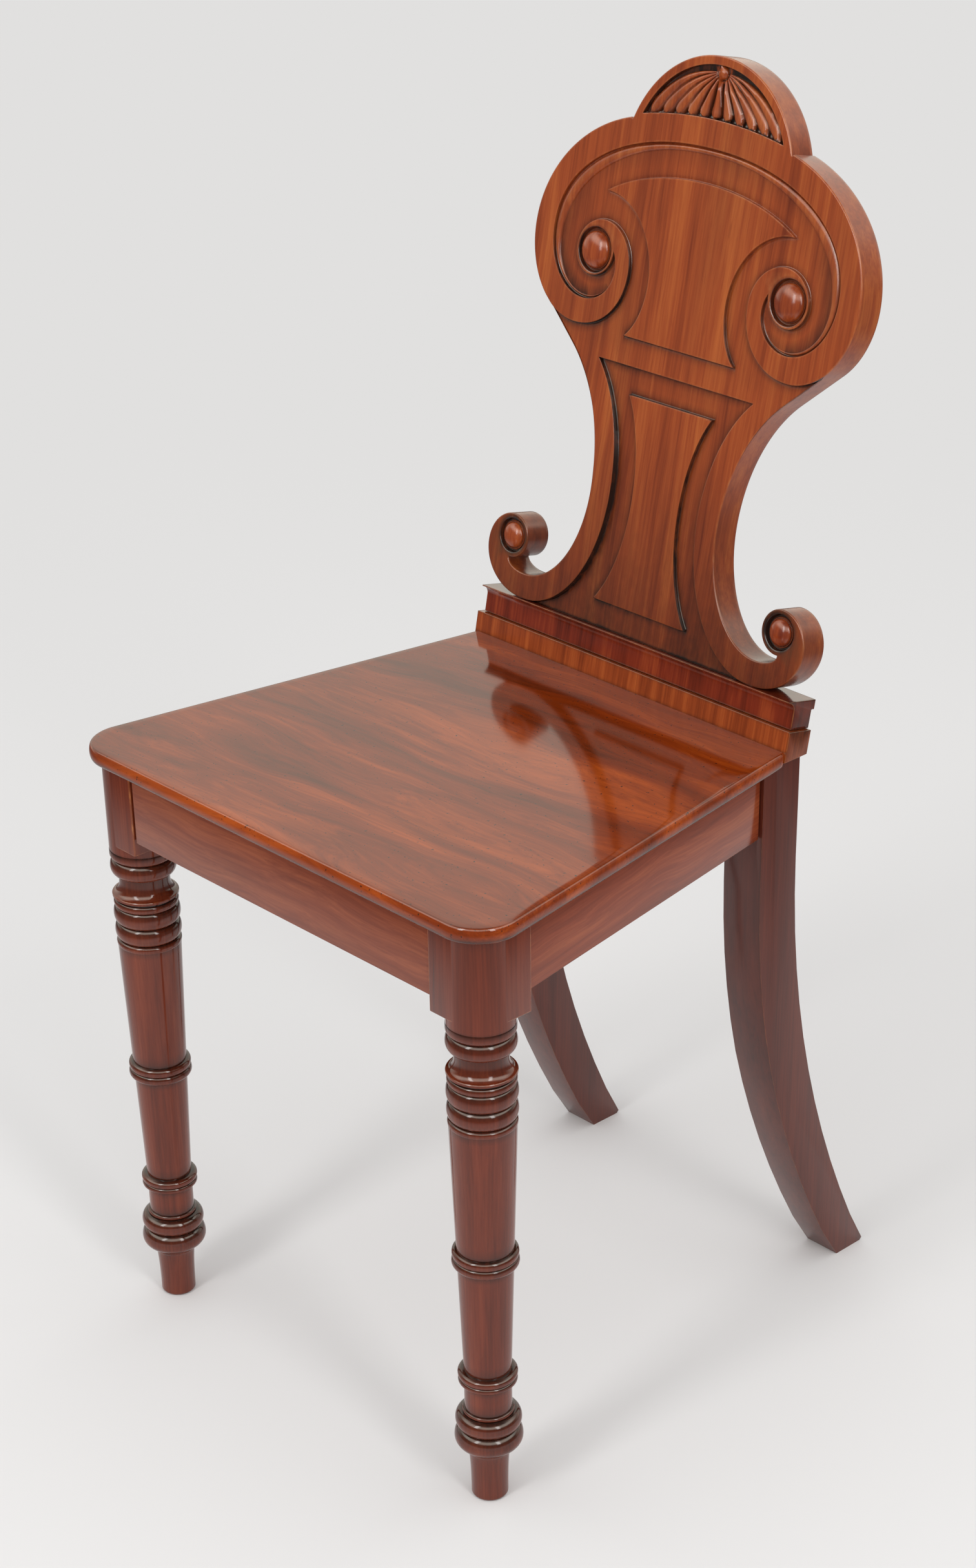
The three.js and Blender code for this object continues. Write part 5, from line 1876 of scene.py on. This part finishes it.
@dataclass
class Plinth:
    """A moulding that runs across the chair.

    Attributes:
        node: The solid that it replaces.
        half: Half its length.
        section: Its section, in depth and height on the back.
        ease: Width of its rounded arrises.
        seams: Heights at which it meets other pieces and holds grime.
    """

    node: str
    half: float
    section: Array
    ease: float
    seams: Point

    def build(self, looks: Looks) -> None:
        """Makes the plinth.

        Args:
            looks: The finishes.
        """
        closed = np.concatenate([self.section, self.section[:1]])
        fine = chain(*(straight(a, b, 1.2) for a, b in zip(closed, closed[1:])))[:-1]
        depth, height = fine.T
        grime = 0.03 + sum(0.38 * bump(height, seam, 1.1) for seam in self.seams)
        shell = Shell()
        rings = []
        for x in (-self.half, -self.half + 1.5, self.half - 1.5, self.half):
            held = np.minimum(grime + 0.35 * (abs(x) == self.half), 1)
            rings.append(shell.add(on_back(x, height, depth), held))
        shell.bridge(*rings)
        shell.cap(rings[0])
        shell.cap(rings[-1])
        mesh = eased(shell.mesh(self.node), self.ease)
        piece(f"moulded_{self.node}", mesh, (looks[self.node],), "plinth", self.node)


def lower_plinth(foot: float = 438.0, top: float = 14.4, depth: float = 22.0) -> Plinth:
    """Draws the lower plinth, a plain fillet with a level foot.

    Args:
        foot: Height of its foot above the floor.
        top: Height of its top on the back.
        depth: Its depth.

    Returns:
        The plinth.
    """
    front, rear = ((foot - SEAT_HEIGHT + d * math.sin(RAKE)) / math.cos(RAKE) for d in (0.0, depth))
    section = np.array([(0.0, front), (0.0, top), (depth, top), (depth, rear)])
    return Plinth("lower_plinth", 152.0, section, 0.5, (0.0, top))


def upper_plinth() -> Plinth:
    """Draws the upper plinth, a flat band under a cove and a fillet.

    Returns:
        The plinth.
    """
    front, foot, top, rear = 4.2, 14.7, 34.4, 22.3
    fillet, cove, reach, lip = 0.9, 6.0, 6.2, 2.7
    under = top - fillet - cove
    hollow = quarter((front, under), (front - reach, top - fillet), False)
    rest = [(front - reach, top), (rear + lip, top), (rear + lip, under), (rear, under), (rear, foot)]
    section = np.array([(front, foot), *hollow, *rest])
    return Plinth("upper_plinth", 149.0, section, 0.45, (foot, top))


@dataclass
class Joinery:
    """Plain pieces of the frame: copies of the solids with eased arrises.

    Attributes:
        label: How they are worked, for their names.
        slot: The group that they belong to.
        ease: Width of their rounded arrises.
        finishes: The finish of each node.
    """

    label: str
    slot: str
    ease: float
    finishes: dict[str, Material]

    def build(self) -> None:
        """Makes each piece."""
        for node, finish in self.finishes.items():
            mesh = eased(fair_copy(node), self.ease)
            piece(f"{self.label}_{node}", mesh, (finish,), self.slot, node)


def screw_tree() -> bpy.types.GeometryNodeTree:
    """Builds the tree that sets a screw on each point of a cloud, turned by the point's turn.

    Inputs are the cloud, the screw's object and the finish.

    Returns:
        The tree.
    """
    inputs = {"Places": "Geometry", "Screw": "Object", "Finish": "Material"}
    add, given = new_tree("screws", inputs, "Screws")
    screw = add("GeometryNodeObjectInfo", {"Object": given["Screw"]}, "Geometry")
    turn = add(
        "GeometryNodeInputNamedAttribute", {"Name": "turn"}, "Attribute", data_type="FLOAT_VECTOR"
    )
    turned = add("FunctionNodeEulerToRotation", (turn,))
    placed = add("GeometryNodeInstanceOnPoints", {
        "Points": given["Places"], "Instance": screw, "Rotation": turned,
    })
    return finish_tree(add, placed, given["Finish"])


@dataclass
class Screws:
    """Wood screws with slotted round heads, in pockets under the seat and in the back rail.

    Attributes:
        label: The name of their pattern.
        length: Length of the shank.
        places: For each node the place of its screw's head, and its turns.
    """

    label: str
    length: float
    places: dict[str, tuple[Place, Place]]
    shank: float = 2.2
    core_share: float = 0.72
    plain_share: float = 0.35
    # The threads are drawn coarser than the real ones, so that they show at all.
    pitch: float = 1.6
    head: float = 4.2
    head_height: float = 2.4
    head_rings: int = 7
    slot_width: float = 0.9
    slot_depth: float = 1.1
    # The metal that is left under the slot.
    slot_floor: float = 0.3
    crest_share: float = 0.45
    point: float = 4.0
    facets: int = 24

    def pattern(self) -> Mesh:
        """Makes one screw along Z, its head's flat side at zero.

        Returns:
            Its mesh.
        """
        rows = [(self.head * math.sin(a), -self.head_height * math.cos(a))
                for a in np.radians(np.linspace(8, 90, self.head_rings))]
        height = self.length * self.plain_share
        rows += [(self.shank, 0.0), (self.shank, height)]
        while height < self.length - self.point:
            rows += [(self.shank, height + self.pitch * self.crest_share),
                     (self.shank * self.core_share, height + self.pitch)]
            height += self.pitch
        rows.append((0.2, self.length))
        angles = np.linspace(0, 2 * math.pi, self.facets, endpoint=False)
        circle = np.stack([np.cos(angles), np.sin(angles)], 1)
        shell = Shell()
        rings = []
        for number, (radius, level) in enumerate(rows):
            levels = np.full(self.facets, level)
            if number < self.head_rings - 1:
                # The slot is pressed into the head's crown.
                across = np.abs(circle[:, 1] * radius) < self.slot_width / 2
                levels[across] = min(level + self.slot_depth, -self.slot_floor)
            rings.append(shell.add(np.column_stack([circle * radius, levels])))
        shell.bridge(*rings)
        shell.cap(rings[0])
        shell.cap(rings[-1])
        mesh = bpy.data.meshes.new(self.label)
        mesh.from_pydata((np.array(shell.points) * MM).tolist(), [], shell.faces)
        outwards(mesh)
        return mesh

    def build(self, tree: bpy.types.GeometryNodeTree, finish: Material) -> None:
        """Makes one piece for each screw.

        Args:
            tree: The screw tree.
            finish: The screws' material.
        """
        pattern = bpy.data.objects.new(self.label, self.pattern())
        inputs = {"Screw": pattern, "Finish": finish}
        for node, (place, turn) in self.places.items():
            cloud = bpy.data.meshes.new(node)
            cloud.from_pydata([tuple(np.array(place) * MM)], [], [])
            cloud.attributes.new("turn", "FLOAT_VECTOR", "POINT").data.foreach_set("vector", turn)
            mesh = evaluated(cloud, "NODES", {"node_group": tree}, inputs)
            piece(f"slotted_{node}", mesh, (finish,), "iron", node)
        bpy.data.objects.remove(pattern)


def screw_places() -> tuple[dict[str, tuple[Place, Place]], dict[str, tuple[Place, Place]]]:
    """Finds the screws from their nodes.

    Returns:
        Places and turns of the seat screws, and those of the back screws.
    """
    # The seat screws lean in their pockets. A box's middle is so far up the screw's axis.
    tilt, to_middle, head_height = math.radians(25), 12.8, 2.4
    seat, rear = {}, {}
    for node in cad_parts:
        if "screw" not in node:
            continue
        low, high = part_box(node)
        centre = (low + high) / 2 / MM
        if "back" in node:
            rear[node] = ((centre.x, centre.y, low.z / MM + head_height), (0.0, 0.0, 0.0))
            continue
        side = math.copysign(1, centre.x)
        if "front" in node:
            axis, turn = Vector((0, -math.sin(tilt), math.cos(tilt))), (tilt, 0.0, 0.0)
        else:
            out = Vector((side * math.cos(SPLAY), math.sin(SPLAY), 0))
            axis, turn = out * math.sin(tilt), (0.0, side * tilt, side * SPLAY)
            axis.z = math.cos(tilt)
        seat[node] = (tuple(centre - axis * to_middle), turn)
    return seat, rear


# Stage, light and camera


def build_floor(size: float = 30.0) -> None:
    """Makes the pale floor, which runs out into an even pale backdrop and keeps the shadow.

    Args:
        size: How far it reaches to each side, in metres.
    """
    material = bpy.data.materials.new("pale_studio_floor")
    add = partial(add_node, emptied(material))
    place = add("ShaderNodeTexCoord", out="Object")
    away = add("ShaderNodeVectorMath", (place,), "Value", operation="LENGTH")
    lit = add("ShaderNodeBsdfDiffuse", {"Color": linear(FLOOR)})
    # The camera sees the floor turn into the backdrop, and the polish sees it grow dim.
    surfaces = []
    for near, far, strength in ((0.7, 2.6, 1.0), (0.45, 1.6, ROOM)):
        share = add("ShaderNodeMapRange", (away, near, far), interpolation_type="SMOOTHSTEP")
        even = add("ShaderNodeEmission", (linear(BACKDROP), strength))
        surfaces.append(add("ShaderNodeMixShader", (share, lit, even)))
    glossy = add("ShaderNodeLightPath", out="Is Glossy Ray")
    surface = add("ShaderNodeMixShader", (glossy, *surfaces))
    add("ShaderNodeOutputMaterial", {"Surface": surface})
    mesh = bpy.data.meshes.new("floor")
    corners = [(-size, -size, 0), (size, -size, 0), (size, size, 0), (-size, size, 0)]
    mesh.from_pydata(corners, [], [(0, 1, 2, 3)])
    mesh.materials.append(material)
    floor = bpy.data.objects.new("floor", mesh)
    bpy.context.scene.collection.objects.link(floor)


@dataclass(frozen=True)
class Softbox:
    """A tall soft lamp: where it stands as seen from the chair, its size and its strength.

    Azimuth 0 is in front of the chair and 90 on its right.
    """

    name: str
    azimuth: float
    elevation: float
    irradiance: float
    size: Point = (0.6, 1.9)
    away: float = 3.2
    aim: float = 0.4

    def build(self) -> None:
        """Makes the lamp."""
        lamp = bpy.data.lights.new(self.name, "AREA")
        lamp.shape = "RECTANGLE"
        lamp.size, lamp.size_y = self.size
        lamp.energy = self.irradiance * math.pi * self.away**2
        made = bpy.data.objects.new(self.name, lamp)
        towards = way(self.azimuth, self.elevation)
        turn = towards.to_track_quat("Z", "Y").to_matrix().to_4x4()
        place = towards * self.away + Vector((0, 0, self.aim))
        made.matrix_world = Matrix.Translation(place) @ turn
        bpy.context.scene.collection.objects.link(made)


def way(azimuth: float, elevation: float) -> Vector:
    """The way from the chair at an azimuth and an elevation in degrees."""
    a, e = math.radians(azimuth), math.radians(elevation)
    return Vector((math.sin(a) * math.cos(e), -math.cos(a) * math.cos(e), math.sin(e)))


def build_world() -> None:
    """Makes the pale surroundings that the camera and the polish see."""
    world = bpy.data.worlds.new("studio")
    bpy.context.scene.world = world
    add = partial(add_node, emptied(world))
    rays = add("ShaderNodeLightPath").node.outputs
    seen = add("ShaderNodeMath", (rays["Is Camera Ray"], rays["Is Transmission Ray"]),
               operation="MAXIMUM")
    lighting = add("ShaderNodeBackground", (linear("#ffffff"), SKYLIGHT))
    backdrop = add("ShaderNodeBackground", (linear(BACKDROP), 1.0))
    # The polish mirrors a soft light over the backdrop, and the dimmer room before the chair
    # with a row of lamps at one height.
    ray = add("ShaderNodeTexCoord", out="Generated")
    before = add("ShaderNodeVectorMath", (ray, TO_CAMERA), "Value", operation="DOT_PRODUCT")
    height = add("ShaderNodeSeparateXYZ", (ray,), "Z")
    apart = add("ShaderNodeMath", (height, LAMP_ROW), operation="SUBTRACT")
    apart = add("ShaderNodeMath", (apart,), operation="ABSOLUTE")
    # The row of lamps fades into the room above and below, and the room into the light behind.
    strength: Socket | float = LAMPS
    for value, start, end, low in ((apart, 0.3, 0.08, ROOM), (before, -0.6, 0.0, BEHIND)):
        strength = add("ShaderNodeMapRange", (value, start, end, low, strength),
                       interpolation_type="SMOOTHSTEP")
    mirrored = add("ShaderNodeBackground", (linear("#e6e3d6"), strength))
    mixed = add("ShaderNodeMixShader", (seen, lighting, backdrop))
    mixed = add("ShaderNodeMixShader", (rays["Is Glossy Ray"], mixed, mirrored))
    add("ShaderNodeOutputWorld", {"Surface": mixed})


@dataclass(frozen=True)
class Camera:
    """The camera of the photograph: right of the chair's front and above it."""

    lens: float = 68.43
    shift: Point = (-0.059, 0.200)
    azimuth: float = 45.43
    elevation: float = 31.07
    place: Place = (1349.21, -1075.32, 1271.85)

    def build(self) -> None:
        """Makes the camera."""
        data = bpy.data.cameras.new("camera")
        data.lens, data.sensor_width, data.sensor_fit = self.lens, 36.0, "AUTO"
        data.shift_x, data.shift_y = self.shift
        data.clip_start, data.clip_end = 0.05, 100.0
        made = bpy.data.objects.new("camera", data)
        forward = -way(self.azimuth, self.elevation)
        azimuth = math.radians(self.azimuth)
        right = Vector((math.cos(azimuth), math.sin(azimuth), 0.0))
        turn = Matrix((right, right.cross(forward), -forward)).transposed()
        place = Vector(to_frame(np.array(self.place))) * MM
        made.matrix_world = Matrix.Translation(place) @ turn.to_4x4()
        bpy.context.scene.collection.objects.link(made)
        bpy.context.scene.camera = made


def build_frame(looks: Looks) -> None:
    """Makes the rails, the rear legs, the glue blocks, the dowels' finish and the screws.

    Args:
        looks: The finishes.
    """
    rails = dict.fromkeys(("front_rail", "back_rail"), looks["rail"])
    rails |= {f"{side.word}_side_rail": looks[f"{side.word}_side_rail"] for side in Side}
    Joinery("planed", "frame", 0.6, rails).build()
    rear = {f"{side.word}_rear_leg": looks["rear_legs_shaded"] for side in Side}
    Joinery("sawn", "legs", 0.9, rear).build()
    blocks = [f"{side.word}_{end}_glue_block" for side in Side for end in ("front", "rear")]
    Joinery("sawn", "deal", 0.5, dict.fromkeys(blocks, looks["deal"])).build()
    seat_places, rear_places = screw_places()
    screws = screw_tree()
    Screws("seat_screw", 28.0, seat_places).build(screws, looks["iron"])
    Screws("back_screw", 44.0, rear_places).build(screws, looks["iron"])
    for side in Side:
        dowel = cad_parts[f"{side.word}_back_dowel"].data
        dowel.materials.clear()
        dowel.materials.append(looks["deal"])


def main() -> None:
    """Builds the stage and the chair, one sub-assembly after another."""
    logging.basicConfig(level=logging.INFO, format="%(message)s")
    bpy.context.scene.view_settings.view_transform = "Standard"
    Camera().build()
    build_world()
    build_floor()
    Softbox("key", azimuth=5.0, elevation=34.0, irradiance=0.85).build()
    Softbox("fill", azimuth=77.0, elevation=30.0, irradiance=0.8).build()
    looks = build_looks()
    turning = turning_tree()
    board = BackBoard()
    board.build(looks)
    build_bosses(board, turning, looks)
    for plinth in (lower_plinth(), upper_plinth()):
        plinth.build(looks)
    SeatBoard().build(looks)
    for side in Side:
        FrontLeg(side).build(turning, looks)
    build_frame(looks)


if __name__ == "__main__":
    main()
